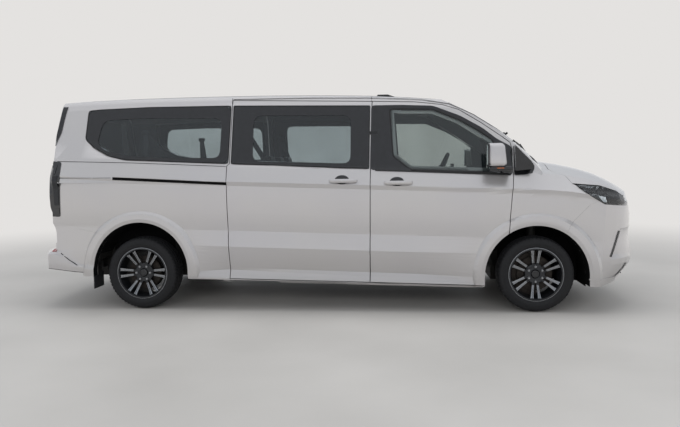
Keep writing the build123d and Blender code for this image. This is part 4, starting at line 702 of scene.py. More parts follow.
# Ceramic print baked round the bonded panes, and the gloss black cover of the door frame.
bm = bmesh.new()
for pane, corner in (("quarter", 0.05), ("slide", 0.012)):
    sidePatch(bm, roundedLoop(shrink(panes[pane], panes["inset"]), corner),
              [roundedLoop(panes[pane + "Clear"], panes["clearCorner"])], panes["printLift"], panes["printThick"])
placePiece(bothSides(bm), "pane_print", "gloss_black", "gloss black ABS")
for sideName, side in sides:
    door = "door_" + sideName
    bm = bmesh.new()
    sidePatch(bm, roundedLoop(panes["doorFrame"], 0.03), [roundedLoop(shrink(panes["door"], panes["inset"]), 0.03)],
              0.0012, 0.0022)
    placePiece(onSide(bm, side), "door_frame_cover_" + sideName, "gloss_black", "gloss black ABS", body=door)
    bm = bmesh.new()
    sideStrip(bm, panes["beltLine"], 0.014, 0.004, 0.006)
    roundStrip(bm, roundedLoop(shrink(panes["door"], -panes["inset"]), 0.03), 0.008, 0.003, 0.004)
    placePiece(onSide(bm, side), "door_glass_seal_" + sideName, "black_plastic", "EPDM rubber", body=door)
bm = bmesh.new()
for pane, corner in (("quarter", 0.03), ("slide", 0.01)):
    roundStrip(bm, roundedLoop(shrink(panes[pane], -0.001), corner), 0.007, 0.0015, 0.003)
placePiece(bothSides(bm), "pane_seals", "black_plastic", "EPDM rubber")
print("windows ready")

# Joints between the fixed panels, as dark strips. The second line is no joint: it is painted shade along the rear
# quarter's crease.
seams = {"width": 0.004, "lift": 0.0004, "thick": 0.002, "lines": [
    # The second of these lines is painted crease shade.
    [(-2.505, 1.352), (-1.8, 1.33), (-0.93, 1.288)], [(-2.49, 1.199), (-1.98, 1.196)],
    [(-0.893, 1.85), (-0.895, 1.905)], [(0.366, 1.853), (0.366, 1.893)],
    [(-0.885, 1.893), (-0.2, 1.893), (0.4, 1.881), (0.8, 1.86), (1.05, 1.815), (1.25, 1.72), (1.45, 1.59),
     (1.6, 1.48)]]}
bm = bmesh.new()
for line in seams["lines"]:
    sideStrip(bm, line, seams["width"], seams["lift"], seams["thick"])
placePiece(bothSides(bm), "panel_joints_and_crease_shade", "black_plastic", "EPDM rubber")

# Door handles: a painted bar over a flat gloss black oval, painted shade standing in for the finger recess. Its
# sections: share of the length, of the height, and proud.
handle = {"length": 0.25, "high": 0.034, "bar": 0.016, "cup": (0.058, 0.036), "cupAt": (-0.012, 0.01), "lip": 0.002,
          "places": {"slide": (0.122, 1.15), "front": (0.6, 1.13)},
          "sections": [(0, 0.3, 0.004), (0.02, 0.62, 0.012), (0.07, 0.86, 0.022), (0.2, 0.98, 0.033), (0.5, 1.0, 0.038),
                       (0.8, 0.98, 0.033), (0.93, 0.86, 0.022), (0.98, 0.62, 0.012), (1, 0.3, 0.004)]}


def shadeCupLoop(x, z, grow):
    (wide, tall), (dx, dz) = handle["cup"], handle["cupAt"]
    turns = [2 * math.pi * k / 24 for k in range(24)]
    return [(x + dx + (wide + grow) * math.cos(a), z + dz + (tall + grow) * math.sin(a)) for a in turns]


for kind, (x, z) in handle["places"].items():
    for sideName, side in sides:
        bm = bmesh.new()
        # The black oval and its rim are painted shade of the finger recess; no hollow is cut.
        sidePatch(bm, shadeCupLoop(x, z, 0), (), 0.0005, 0.0012, 0.05, 1)
        roundStrip(bm, shadeCupLoop(x, z, handle["lip"]), 0.003, 0.0012, 0.001, 1)
        y0, y1 = (sideY(x + way * handle["length"] / 2, z) for way in (-1, 1))
        rings = []
        for share, tall, out in handle["sections"]:
            px, py = x + (share - 0.5) * handle["length"], y0 + (y1 - y0) * share
            half = handle["high"] / 2 * tall
            back = py - 0.002 if share < 0.15 or share > 0.85 else py + out - handle["bar"]
            rings.append([(px, back, z - half * 0.7), (px, py + out * 0.8, z - half), (px, py + out, z - half * 0.4),
                          (px, py + out, z + half * 0.4), (px, py + out * 0.8, z + half), (px, back, z + half * 0.7)])
        ringLoft(bm, rings)
        placePiece(onSide(bm, side), f"handle_{kind}_{sideName}", "body_paint", "paint", "gloss black ABS",
                   body="body" if kind == "slide" else "door_" + sideName, angle=50)

# Trim along the flank; each row is a line in x and z, its width, lift and thickness, and its finish.
railLine = [(-1.962, 1.19), (-1.45, 1.163), (-0.918, 1.134)]
stripLooks = {
    "rail_covers": ("rail_plastic", ("felted liner", "paint"), [
        (railLine, 0.026, 0.003, 0.012, 0), ([(x, z + 0.0155) for x, z in railLine], 0.004, 0.005, 0.006, 1)]),
    "sill_strips": ("body_paint", ("paint",), [
        ([(-1.27, 0.276), (-0.6, 0.262), (0.3, 0.246), (1.32, 0.228)], 0.016, 0.006, 0.012),
        ([(2.206, 0.296), (2.35, 0.287), (2.47, 0.284), (2.52, 0.306), (2.57, 0.345), (2.61, 0.392)],
         0.012, 0.006, 0.012)]),
    "bumper_slots": ("gloss_black", ("gloss black ABS",), [
        ([(2.505, 0.69), (2.474, 0.612), (2.436, 0.522), (2.415, 0.474)], 0.015, 0.0012, 0.004),
        ([(-2.486, 0.512), (-2.4, 0.45), (-2.325, 0.405)], 0.006, 0.001, 0.004)]),
}
for name, (slot, finishes, rows) in stripLooks.items():
    bm = bmesh.new()
    for row in rows:
        sideStrip(bm, *row)
    placePiece(bothSides(bm), name, slot, *finishes)
bm = bmesh.new()
sidePatch(bm, [(-2.57, 0.55), (-2.525, 0.546), (-2.535, 0.526), (-2.575, 0.53)], (), 0.001, 0.003)
placePiece(bothSides(bm), "rear_reflectors", "red_lamp", "red PMMA")
print("side details ready")

# Wheels. Profiles are y and radius about the wheel's middle, the outer side at +y.
wheel = {"axles": {"front": 1.775, "rear": -1.725}, "y": 0.8675, "z": 0.328}
tyreLook = {"steps": 240, "crown": 0.328, "crownFall": 0.9, "shoulder": (0.0985, 0.317), "notch": 0.006,
            "grooves": (-0.06, -0.021, 0.021, 0.06),
            "groove": [(-0.006, 0.0005), (-0.0045, 0.008), (0.0045, 0.008), (0.006, 0.0005)],
            "wall": [(0.104, 0.311), (0.1095, 0.302), (0.113, 0.29), (0.1155, 0.279), (0.1165, 0.27), (0.1158, 0.2695),
                     (0.1158, 0.266), (0.1165, 0.2655), (0.114, 0.254), (0.1095, 0.244), (0.106, 0.2375),
                     (0.1035, 0.2345), (0.0985, 0.233), (0.096, 0.229), (0.0955, 0.2235)]}
# A bar's sections are its share of the length, half its width, its height and its depth.
rimLook = {"barrel": [(-0.103, 0.216), (-0.103, 0.231), (-0.098, 0.233), (-0.094, 0.224), (-0.07, 0.221), (-0.06, 0.2),
                      (0.01, 0.198), (0.05, 0.206), (0.085, 0.2125), (0.0965, 0.216), (0.099, 0.2215), (0.099, 0.232),
                      (0.1035, 0.233), (0.1045, 0.229), (0.104, 0.217), (0.096, 0.2115), (0.07, 0.204),
                      (0.045, 0.199), (0.005, 0.19), (-0.055, 0.192), (-0.07, 0.214), (-0.103, 0.216)],
           "hub": [(0.034, 0.0005), (0.034, 0.03), (0.058, 0.034), (0.064, 0.04), (0.066, 0.078), (0.06, 0.086),
                   (0.04, 0.09), (0.012, 0.09), (0.012, 0.0005)],
           "cap": [(0.06, 0.0335), (0.071, 0.033), (0.074, 0.03), (0.075, 0.023), (0.0725, 0.0215), (0.0725, 0.0005)],
           "pairs": 6, "near": 0.06, "far": 0.207, "apartNear": 0.0155, "apartMore": 0.0165, "nutCircle": 0.065,
           "bar": [(0.0, 0.0125, 0.064, 0.02), (0.25, 0.0105, 0.068, 0.022), (0.6, 0.011, 0.079, 0.026),
                   (0.9, 0.0135, 0.092, 0.03), (1.0, 0.0165, 0.097, 0.03)],
           "nut": [(0.05, 0.066, 0.015, 20, 0), (0.06, 0.0795, 0.0105, 6, 2), (0.079, 0.084, 0.0088, 12, 2, 0.6)]}


def tyreMesh():
    look = tyreLook
    y, r = look["shoulder"]
    tread = [(-y, r)]
    for middle in look["grooves"]:
        edge = look["crown"] - look["crownFall"] * middle * middle
        tread += [(middle + off, edge - deep) for off, deep in look["groove"]]
    tread.append((y, r))
    bm = bmesh.new()
    inner = [(-y, r) for y, r in reversed(look["wall"])]
    spinProfile(bm, onRadius(inner + tread + look["wall"]), look["steps"])
    bmesh.ops.remove_doubles(bm, verts=bm.verts, dist=0.00005)
    for v in bm.verts:
        radius = math.hypot(v.co.x, v.co.z)
        turn = round(math.atan2(v.co.z, v.co.x) / (2 * math.pi) * look["steps"]) % 4
        shoulder = 0.066 < abs(v.co.y) < 0.106 and radius > 0.305
        rib = 0.026 < abs(v.co.y) < 0.055 and radius > 0.325
        if (shoulder and turn == 0) or (rib and turn == 2):
            cut = (radius - look["notch"]) / radius
            v.co.x *= cut
            v.co.z *= cut
    return bm


def rimMesh(phase):
    look = rimLook
    bm = bmesh.new()
    spinProfile(bm, onRadius(look["barrel"]), 96)
    spinProfile(bm, onRadius(look["hub"]), 60)
    for k in range(look["pairs"]):
        turn = Matrix.Rotation(math.radians(phase + 360 / look["pairs"] * k), 4, "Y")
        for way in (-1, 1):
            made = []
            # Two bars lean towards each other at the hub, and a shallow groove runs down each.
            for share, half, high, deep in look["bar"]:
                r = look["near"] + (look["far"] - look["near"]) * share
                off = way * (look["apartNear"] + look["apartMore"] * share)
                ring = [(-0.75, high - deep), (-1, high - 0.004), (-0.86, high), (-0.34, high), (-0.22, high - 0.005),
                        (0.22, high - 0.005), (0.34, high), (0.86, high), (1, high - 0.004), (0.75, high - deep)]
                made.append([turn @ Vector((off + half * wide, y, r)) for wide, y in ring])
            ringLoft(bm, made)
    bmesh.ops.recalc_face_normals(bm, faces=bm.faces)
    for face in bm.faces:
        c = face.calc_center_median()
        r = math.hypot(c.x, c.z)
        turned = face.normal.y > 0.85 and c.y > 0.061 and 0.084 < r < 0.212 and face.calc_area() < 0.0008
        if turned or (r > 0.2285 and c.y > 0.1):
            face.material_index = 1
    for k in range(look["pairs"]):
        a = math.radians(phase + 30 + 360 / look["pairs"] * k)
        x, z = look["nutCircle"] * math.cos(a), look["nutCircle"] * math.sin(a)
        for y0, y1, *shape in look["nut"]:
            tube(bm, (x, y0, z), (x, y1, z), *shape)
    before = set(bm.faces)
    spinProfile(bm, onRadius(look["cap"]), 48)
    for face in set(bm.faces) - before:
        face.material_index = 3
    valve = Matrix.Rotation(math.radians(phase + 12), 4, "Y")
    tube(bm, valve @ Vector((0, 0.06, 0.19)), valve @ Vector((0, 0.092, 0.18)), 0.004, 10, 3)
    return bm


def toWheel(bm, end, side):
    # A mesh drawn about the wheel's middle, moved to its axle and turned to face outwards.
    place = Matrix.Translation((wheel["axles"][end], side * wheel["y"], wheel["z"]))
    if side < 0:
        place = place @ Matrix.Rotation(math.pi, 4, "Z")
    bmesh.ops.transform(bm, matrix=place, verts=bm.verts)
    return bm


for end in wheel["axles"]:
    for sideName, side in sides:
        corner = f"{end}_{sideName}"
        bm = toWheel(tyreMesh(), end, side)
        placePiece(bm, f"tyre_{corner}_tread", "tyre_rubber", "tyre", body="wheel_" + corner, angle=30,
                   replaced=["tyre_" + corner])
        bm = toWheel(rimMesh(0 if end == "front" else 30), end, side)
        placePiece(bm, f"rim_{corner}_alloy", "alloy", "painted alloy", "turned alloy", "zinc plated steel",
                   "gloss black ABS", body="wheel_" + corner, angle=28, replaced=["rim_" + corner], outward=False)
print("wheels ready")

# Headlamps: parts under the lens as an outline in x and z, the height above the housing and the finish.
headlamp = {"corner": 0.01,
            "lens": [(2.112, 1.098), (2.334, 1.079), (2.495, 1.029), (2.592, 0.962), (2.6, 0.935), (2.56, 0.918),
                     (2.5, 0.918), (2.35, 0.936), (2.226, 1.004)],
            "finishes": ["metallised reflector", "opal polycarbonate", "grained polypropylene", "painted alloy"],
            "parts": [
    ([(2.176, 1.08), (2.293, 1.068), (2.372, 1.034), (2.4, 1.02), (2.3, 1.04), (2.24, 1.052)], 0.004, 0),
    ([(2.284, 1.002), (2.359, 0.99), (2.408, 0.94), (2.33, 0.95)], 0.006, 1),
    ([(2.39, 1.03), (2.425, 1.028), (2.52, 0.985), (2.49, 0.975)], 0.004, 3),
    ([(2.205, 1.03), (2.275, 0.978), (2.29, 0.982), (2.262, 1.012), (2.225, 1.034)], 0.004, 2)]}
skin("headlamps", "headlamp_housings", "lamp", "smoked PMMA")


def lampY(x, z):
    # The lamp's cover carries on up to the bonnet's edge with the slope of the housing.
    for k in range(14):
        y = sideY(x, z - 0.005 * k, 0.003)
        if y > 0.5:
            return y - 0.0018 * k
    return 0.9


bm = bmesh.new()
for outline, lift, finish in headlamp["parts"]:
    sidePatch(bm, roundedLoop(outline, headlamp["corner"]), (), lift, 0.0025, 0.03, finish, lampY)
for k in range(6):
    x = 2.215 + 0.03 * k
    sideStrip(bm, [(x, 1.056 - 0.006 * k), (x + 0.014, 1.03 - 0.006 * k)], 0.003, 0.005, 0.001, 2, 0.02)
placePiece(bothSides(bm), "headlamp_reflectors", "lamp", *headlamp["finishes"])
ring = roundedLoop(headlamp["lens"], 0.015)
for name, slot, finish, lift, thick in (("backs", "lamp", "smoked PMMA", 0.003, 0.002),
                                        ("lenses", "clear_glass", "clear polycarbonate", 0.0105, 0.0015)):
    bm = bmesh.new()
    sidePatch(bm, ring, (), lift, thick, 0.03, 0, lampY)
    placePiece(bothSides(bm), "headlamp_" + name, slot, finish, angle=60)

# Tail lamps: a smoked cover, bars behind it (z and x at top and bottom, finish) and a column of lenses at the back.
tailLamp = {"corner": -2.56, "slope": 0.25, "lenses": 9, "lensFrom": 0.9, "lensStep": 0.05, "lensHigh": 0.03,
            "cover": [(-2.548, 1.352), (-2.464, 1.346), (-2.478, 0.846), (-2.54, 0.846), (-2.574, 0.93),
                      (-2.588, 1.2), (-2.578, 1.3)],
            "bars": [(1.318, 1.236, -2.546, -2.562, 1), (1.222, 0.95, -2.54, -2.532, 0),
                     (0.925, 0.87, -2.534, -2.532, 1)]}
skin("tail_lamps", "tail_lamp_bodies", "red_lamp", "smoked PMMA", "red PMMA", rule=lambda c, n: 1 if n.x < -0.6 else 0)


def tailY(x, z):
    # The lamp's side follows the flank and carries on past the corner of the body.
    return sideY(max(x, tailLamp["corner"]), z) - tailLamp["slope"] * max(0.0, tailLamp["corner"] - x)


bm = bmesh.new()
sidePatch(bm, roundedLoop(tailLamp["cover"], 0.02), (), 0.0012, 0.003, 0.05, 0, tailY)
placePiece(bothSides(bm), "tail_lamp_covers", "red_lamp", "smoked PMMA", angle=50)
bm = bmesh.new()
for z0, z1, x0, x1, finish in tailLamp["bars"]:
    sidePatch(bm, roundedLoop([(x0, z0), (x0 + 0.05, z0), (x1 + 0.046, z1), (x1, z1)], 0.008), (), 0.0046, 0.0012, 0.05,
              finish, tailY)
placePiece(bothSides(bm), "tail_lamp_guides", "red_lamp", "painted alloy", "smoked PMMA")
bm = bmesh.new()
for k in range(tailLamp["lenses"]):
    z = tailLamp["lensFrom"] + tailLamp["lensStep"] * k
    top = z + tailLamp["lensHigh"]
    rings = [[(x - 0.002, y, z), (x - 0.002, y, top), (x + 0.004, y, top), (x + 0.004, y, z)]
             for x, y in ((tailX(y, z), y) for y in (0.838, 0.925))]
    ringLoft(bm, rings, {0: 1, 1: 2}.get(k, 0))
placePiece(bothSides(bm), "tail_lamp_lenses", "red_lamp", "red PMMA", "opal polycarbonate", "amber PMMA")
print("lamps ready")

# Door mirrors: blocks as low corner, high corner, bevel, its steps and finish; the shell's top leans back and inwards.
doorMirror = {
    "blocks": {"cap": ((1.352, 1.03, 1.258), (1.504, 1.132, 1.456), 0.034, 5, 0),
               "foot": ((1.362, 1.022, 1.222), (1.552, 1.118, 1.262), 0.016, 4, 1),
               "arm": ((1.47, 0.955, 1.208), (1.553, 1.06, 1.25), 0.014, 4, 1),
               "bezel": ((1.345, 1.036, 1.262), (1.362, 1.128, 1.45), 0.006, 3, 1)},
    "leanBack": 0.1, "leanIn": 0.22, "glassX": 1.3438, "glassThick": 0.004, "glassCorner": 0.022,
    "glass": [(1.044, 1.274), (1.122, 1.274), (1.116, 1.434), (1.044, 1.44)],
    "repeater": ((1.42, 1.119, 1.244), (1.48, 1.1215, 1.249), 0.001, 2),
    "sail": [(1.59, 1.445), (1.65, 1.395), (1.748, 1.29), (1.768, 1.245), (1.748, 1.205), (1.69, 1.19), (1.59, 1.186)]}
for sideName, side in sides:
    door = "door_" + sideName
    bm = bmesh.new()
    for row in doorMirror["blocks"].values():
        block(bm, *row)
    for v in bm.verts:
        if v.co.z > 1.26 and v.co.x > 1.36:
            v.co.x -= doorMirror["leanBack"] * max(0.0, v.co.z - 1.3)
            v.co.y -= doorMirror["leanIn"] * max(0.0, v.co.z - 1.33)
    placePiece(onSide(bm, side), "mirror_shell_" + sideName, "body_paint", "paint", "gloss black ABS", body=door,
               replaced=["mirror_" + sideName])
    bm = bmesh.new()
    points = roundedLoop(doorMirror["glass"], doorMirror["glassCorner"], 6)
    plate(bm, [(doorMirror["glassX"], side * y, z) for y, z in points], (doorMirror["glassThick"], 0, 0))
    placePiece(bm, "mirror_glass_" + sideName, "clear_glass", "silvered glass", body=door, angle=30)
    bm = bmesh.new()
    block(bm, *doorMirror["repeater"])
    placePiece(onSide(bm, side), "mirror_repeater_" + sideName, "lamp", "amber PMMA", body=door, angle=30)
bm = bmesh.new()
sidePatch(bm, roundedLoop(doorMirror["sail"], 0.02), (), 0.006, 0.01)
placePiece(bothSides(bm), "mirror_sails", "gloss_black", "gloss black ABS")
skin("mirror_fairings", "mirror_fairing_shells", "gloss_black", "gloss black ABS")
skin("aerial_pod", "aerial_pod_shell", "gloss_black", "gloss black ABS")
skin("mud_flaps", "mud_flap_sheets", "black_plastic", "grained polypropylene", angle=30)

# The dark edge behind the rear pillars, where the tail's glass begins; it widens from its foot upwards.
rearEdge = {"y": 0.7, "in": 0.03, "from": 1.495, "step": 0.03, "count": 13, "narrow": 0.008, "wider": 0.034}
bm = bmesh.new()
rings = []
for k in range(rearEdge["count"]):
    z = rearEdge["from"] + rearEdge["step"] * k
    x0 = tailX(rearEdge["y"], z) + rearEdge["in"]
    x1 = x0 + rearEdge["narrow"] + rearEdge["wider"] * min(1.0, k / 4)
    y0, y1 = sideY(x0, z), sideY(x1, z)
    rings.append([(x0, y0 - 0.006, z), (x0, y0 + 0.004, z), (x1, y1 + 0.004, z), (x1, y1 - 0.006, z)])
ringLoft(bm, rings)
placePiece(bothSides(bm), "rear_edge_trims", "gloss_black", "gloss black ABS")
skin("slide_rails", "slide_rail_channels", "rail_plastic", "felted liner", angle=30)
print("mirrors ready")

# Nose: slats and ribs in two openings, as half length, height of the line, thickness and how far each stands out.
grille = {"deep": 0.022, "step": 0.06, "upperRibs": (6, 0.062, 0.592, 0.838), "lowerRibs": (8, 0.06),
          "lowerRibZ": (0.3, 0.32, 0.345, 0.372, 0.41),
          "slats": [(0.405 + 0.004 * k, 0.595 + 0.04 * k, 0.016, 0.007) for k in range(7)],
          "lowerSlats": [(0.5, 0.312 + 0.03 * k, 0.012, 0.002) for k in range(4)],
          "trims": [(0.45, 0.872, 0.016, 0.008), (0.43, 0.566, 0.012, 0.006), (0.56, 0.285, 0.014, 0.002)],
          "fogLamp": (0.42, 0.385), "fogTubes": [(-0.02, 0.004, 0.03, 32, 0), (0.002, 0.007, 0.024, 32, 1)]}
skin("grille", "grille_backs", "gloss_black", "gloss black ABS")


def noseBar(bm, half, z, high, proud):
    # A slat that follows the curve of the nose from side to side.
    count = max(2, round(2 * half / grille["step"]))
    rings = []
    for k in range(count + 1):
        y = -half + 2 * half * k / count
        x = noseX(y, z) + proud
        back = x - grille["deep"]
        rings.append([(back, y, z - high * 0.3), (x - 0.002, y, z - high / 2), (x, y, z), (x - 0.004, y, z + high / 2),
                      (back, y, z + high * 0.3)])
    ringLoft(bm, rings)


bm = bmesh.new()
for row in grille["slats"]:
    noseBar(bm, *row)
count, apart, low, high = grille["upperRibs"]
for k in range(-count, count + 1):
    y, x = apart * k, noseX(apart * k, 0.715)
    block(bm, (x - 0.012, y - 0.0025, low), (x + 0.003, y + 0.0025, high))
for row in grille["lowerSlats"]:
    noseBar(bm, *row)
count, apart = grille["lowerRibs"]
for y in (apart * k for k in range(-count, count + 1)):
    rings = []
    for z in grille["lowerRibZ"]:
        back, front = noseX(y, z) - 0.012, noseX(y, z) + 0.001
        rings.append([(back, y - 0.002, z), (front, y - 0.002, z), (front, y + 0.002, z), (back, y + 0.002, z)])
    ringLoft(bm, rings)
placePiece(bm, "grille_slats", "gloss_black", "gloss black ABS")
bm = bmesh.new()
for row in grille["trims"]:
    noseBar(bm, *row)
placePiece(bm, "grille_trims", "alloy", "painted alloy")
bm = bmesh.new()
z = grille["fogLamp"][1]
for y in (-grille["fogLamp"][0], grille["fogLamp"][0]):
    for back, front, *shape in grille["fogTubes"]:
        tube(bm, (noseX(y, z) + back, y, z), (noseX(y, z) + front, y, z), *shape)
placePiece(bm, "fog_lamps", "lamp", "gloss black ABS", "opal polycarbonate")

# Cowl at the foot of the windscreen, curved back towards the pillars.
cowl = {"half": 0.76, "steps": 24, "x": 1.902, "curve": 0.11, "corner": 0.022, "wide": 0.07, "fold": 0.034}
bm = bmesh.new()
rings = []
for k in range(cowl["steps"] + 1):
    y = -cowl["half"] + 2 * cowl["half"] * k / cowl["steps"]
    x = cowl["x"] - cowl["curve"] * y * y - cowl["corner"] * (y / 0.75) ** 6
    back, fold = x - cowl["wide"], x - cowl["fold"]
    high, middle = topZ(back, y), topZ(fold, y)
    low = max(topZ(x + 0.004, y), middle - 0.045)  # never down through the shut line
    rings.append([(back, y, high + 0.003), (fold, y, middle + 0.006), (x, y, low + 0.004), (x, y, low - 0.006),
                  (back, y, high - 0.008)])
ringLoft(bm, rings)
placePiece(bm, "windscreen_cowl", "black_plastic", "grained polypropylene")

# Wipers: each arm's pivot and its blade's middle, across the vehicle.
wiper = {"arms": [(0.56, 0.16), (-0.06, -0.46)], "blade": 0.27, "pieces": 14, "x": 1.8, "curve": 0.2, "half": 0.78}


def footX(y):
    return wiper["x"] - wiper["curve"] * (y / wiper["half"]) ** 2


def onScreen(y, ahead, lift):
    x = footX(y) + ahead
    return x, y, topZ(x, y) + lift


bm = bmesh.new()
for pivot, middle in wiper["arms"]:
    x, y, z = onScreen(pivot, 0.05, 0)
    tube(bm, (x, y, z - 0.01), (x, y, z + 0.03), 0.016, 20, 0)
    tube(bm, (x, y, z + 0.024), onScreen(middle, -0.012, 0.02), 0.008, 10, 0, 0.7)
    blade = [onScreen(middle + wiper["blade"] - 2 * wiper["blade"] * k / wiper["pieces"], -0.012, 0.009)
             for k in range(wiper["pieces"] + 1)]
    for a, b in zip(blade, blade[1:]):
        tube(bm, a, b, 0.0055, 8, 1)
placePiece(bm, "wipers", "black_plastic", "grained polypropylene", "EPDM rubber")
print("nose ready")

# Tail trim: half width and height of the lower and the upper edge, lift, thickness, finish and corner.
tailTrim = {"trims": [((0.28, 0.742), (0.28, 0.772), 0.01, 0.012, 0, 0.02),
                      ((0.36, 0.945), (0.34, 0.975), 0.022, 0.03, 1, 0.008),
                      ((0.64, 1.33), (0.64, 1.345), 0.003, 0.01, 0, 0.02)],
            "brakeLamp": ((0.2, 1.868), (0.2, 1.884), 0.005, 0.012, 0, 0.006),
            "plateLamp": (0.2, 0.95), "wiperArm": [(0.0, 1.352), (-0.14, 1.405), (-0.36, 1.44)],
            "wiperBlade": [(-0.12, 1.405), (-0.055, 0.003), 8]}


def tailPatch(bm, low, high, lift, thick, finish, radius):
    # A flat outline in y and z laid on the tail.
    loop = roundedLoop([(-low[0], low[1]), low, high, (-high[0], high[1])], radius)
    outer = [(tailX(y, z) - lift, y, z) for y, z in loop]
    ringLoft(bm, [outer, [(x + thick, y, z) for x, y, z in outer]], finish)


def onTail(y, z, lift):
    return tailX(y, z) - lift, y, z


bm = bmesh.new()
for row in tailTrim["trims"]:
    tailPatch(bm, *row)
placePiece(bm, "tailgate_trims", "gloss_black", "gloss black ABS", "paint", body="tailgate")
bm = bmesh.new()
for way in (-1, 1):
    x, y, z = onTail(way * tailTrim["plateLamp"][0], tailTrim["plateLamp"][1], 0)
    block(bm, (x - 0.018, y - 0.028, 0.9385), (x + 0.006, y + 0.028, 0.9455), 0.002, 2)
placePiece(bm, "plate_lamps", "lamp", "opal polycarbonate", body="tailgate")
bm = bmesh.new()
tailPatch(bm, *tailTrim["brakeLamp"])
placePiece(bm, "high_brake_lamp", "red_lamp", "red PMMA", body="tailgate")
bm = bmesh.new()
x = tailX(0.02, 1.375)
tube(bm, (x - 0.028, 0, 1.352), (x + 0.01, 0, 1.352), 0.026, 28, 0)
for (ya, za), (yb, zb) in zip(tailTrim["wiperArm"], tailTrim["wiperArm"][1:]):
    tube(bm, onTail(ya, za, 0.02), onTail(yb, zb, 0.016), 0.0075, 10, 0)
(y, z), (dy, dz), count = tailTrim["wiperBlade"]
blade = [onTail(y + dy * k, z + dz * k, 0.008) for k in range(count + 1)]
for a, b in zip(blade, blade[1:]):
    tube(bm, a, b, 0.005, 8, 1)
placePiece(bm, "rear_wiper", "black_plastic", "grained polypropylene", "EPDM rubber", body="tailgate")

# Strips in the roof's two ditches.
ditch = {"y": 0.62, "half": 0.009, "rear": -2.4, "front": 1.3, "step": 3.95 / 32, "up": 0.0012, "down": 0.004}
bm = bmesh.new()
for middle in (-ditch["y"], ditch["y"]):
    rings = []
    for k in range(31):
        x = min(ditch["rear"] + ditch["step"] * k, ditch["front"])
        top, near, far = topZ(x, middle), middle - ditch["half"], middle + ditch["half"]
        low, high = top - ditch["down"], top + ditch["up"]
        rings.append([(x, near, low), (x, near, high), (x, far, high), (x, far, low)])
    ringLoft(bm, rings)
placePiece(bm, "roof_ditch_strips", "black_plastic", "EPDM rubber")
print("tail ready")

# Dashboard: a screen in the middle, instruments under a hood, vents, switches, and a glove box.
dash = {"screen": [((1.12, -0.15, 1.11), (1.138, 0.15, 1.29), 0.006, 3, 0),
                   ((1.1185, -0.14, 1.122), (1.1205, 0.14, 1.28), 0.0, 1, 1),
                   ((1.13, -0.05, 1.08), (1.19, 0.05, 1.2), 0.01, 2, 0)],
        "hoodY": 0.4, "hoodHalf": 0.145, "hoodZ": 1.175, "hoodHigh": 0.085, "hoodX": (1.13, 1.33),
        "dials": ((1.215, 0.275, 1.13), (1.222, 0.525, 1.235), 0.002, 1, 1),
        "vents": (-0.74, -0.24, 0.24, 0.74), "slats": 4, "switches": 5,
        "gloveBox": ((1.158, -0.7, 0.925), (1.166, -0.3, 1.0), 0.004, 2, 2)}
skin("dashboard", "dashboard_skin", "trim", "slush moulded PVC")
bm = bmesh.new()
for row in dash["screen"]:
    block(bm, *row)
rings = []
near, far = dash["hoodX"]
for k in range(13):
    a = math.pi * k / 12
    y = dash["hoodY"] + dash["hoodHalf"] * math.cos(a)
    z = dash["hoodZ"] + dash["hoodHigh"] * math.sin(a) ** 0.6
    rings.append([(near, y, z - 0.012), (near, y, z), (far, y, z - 0.03), (far, y, z - 0.042)])
ringLoft(bm, rings)
block(bm, *dash["dials"])
placePiece(bm, "instruments", "trim", "slush moulded PVC", "gloss black ABS")
bm = bmesh.new()
for y in dash["vents"]:
    block(bm, (1.15, y - 0.052, 1.075), (1.172, y + 0.052, 1.122), 0.006, 2, 0)
    for k in range(dash["slats"]):
        z = 1.082 + 0.01 * k
        block(bm, (1.146, y - 0.046, z), (1.154, y + 0.046, z + 0.003), 0.0, 1, 1)
for k in range(dash["switches"]):
    y = -0.1 + 0.045 * k
    block(bm, (1.146, y, 1.02), (1.166, y + 0.028, 1.04), 0.003, 2, 0)
block(bm, *dash["gloveBox"])
placePiece(bm, "dash_vents", "trim", "gloss black ABS", "zinc plated steel", "slush moulded PVC")

# Steering wheel: a leather rim, an air bag cover, switch pads and three spokes, each with its radius and half width.
steer = {"place": (1.03, 0.4, 1.225), "tilt": math.atan(0.45), "rim": 0.185, "grip": (0.0185, 0.0172),
         "spoke": ((0.03, 0.024), (0.11, 0.014), (0.178, 0.018))}
steering = Matrix.Translation(steer["place"]) @ Matrix.Rotation(steer["tilt"], 4, "Y")
bm = bmesh.new()
gripX, gripR = steer["grip"]
turns = [math.pi * k / 8 for k in range(17)]
ring = [(0.007 + gripX * math.cos(a), 0, steer["rim"] + gripR * math.sin(a)) for a in turns]
spinProfile(bm, ring, 72, (1, 0, 0))
block(bm, (-0.03, -0.07, -0.062), (0.004, 0.07, 0.052), 0.018, 3)
for y in (-0.118, 0.118):
    block(bm, (-0.014, y - 0.04, -0.018), (0.003, y + 0.04, 0.022), 0.007, 2, 1)
bmesh.ops.transform(bm, matrix=steering, verts=bm.verts)
for k in range(3):
    turn = steering @ Matrix.Rotation(math.radians(180 + 120 * k), 4, "X")
    ringLoft(bm, [[turn @ Vector(p) for p in ((-0.004, -y, r), (0.012, -y, r), (0.012, y, r), (-0.004, y, r))]
                  for r, y in steer["spoke"]])
placePiece(bm, "steering_wheel_leather", "trim", "slush moulded PVC", "gloss black ABS", replaced=["steering_wheel"])
bm = bmesh.new()
for way in (-1, 1):
    foot, tip = steering @ Vector((0.055, way * 0.03, 0)), steering @ Vector((0.062, way * 0.185, 0.012))
    tube(bm, foot, tip, 0.007, 12, 0, 0.7)
placePiece(bm, "column_stalks", "trim", "slush moulded PVC")

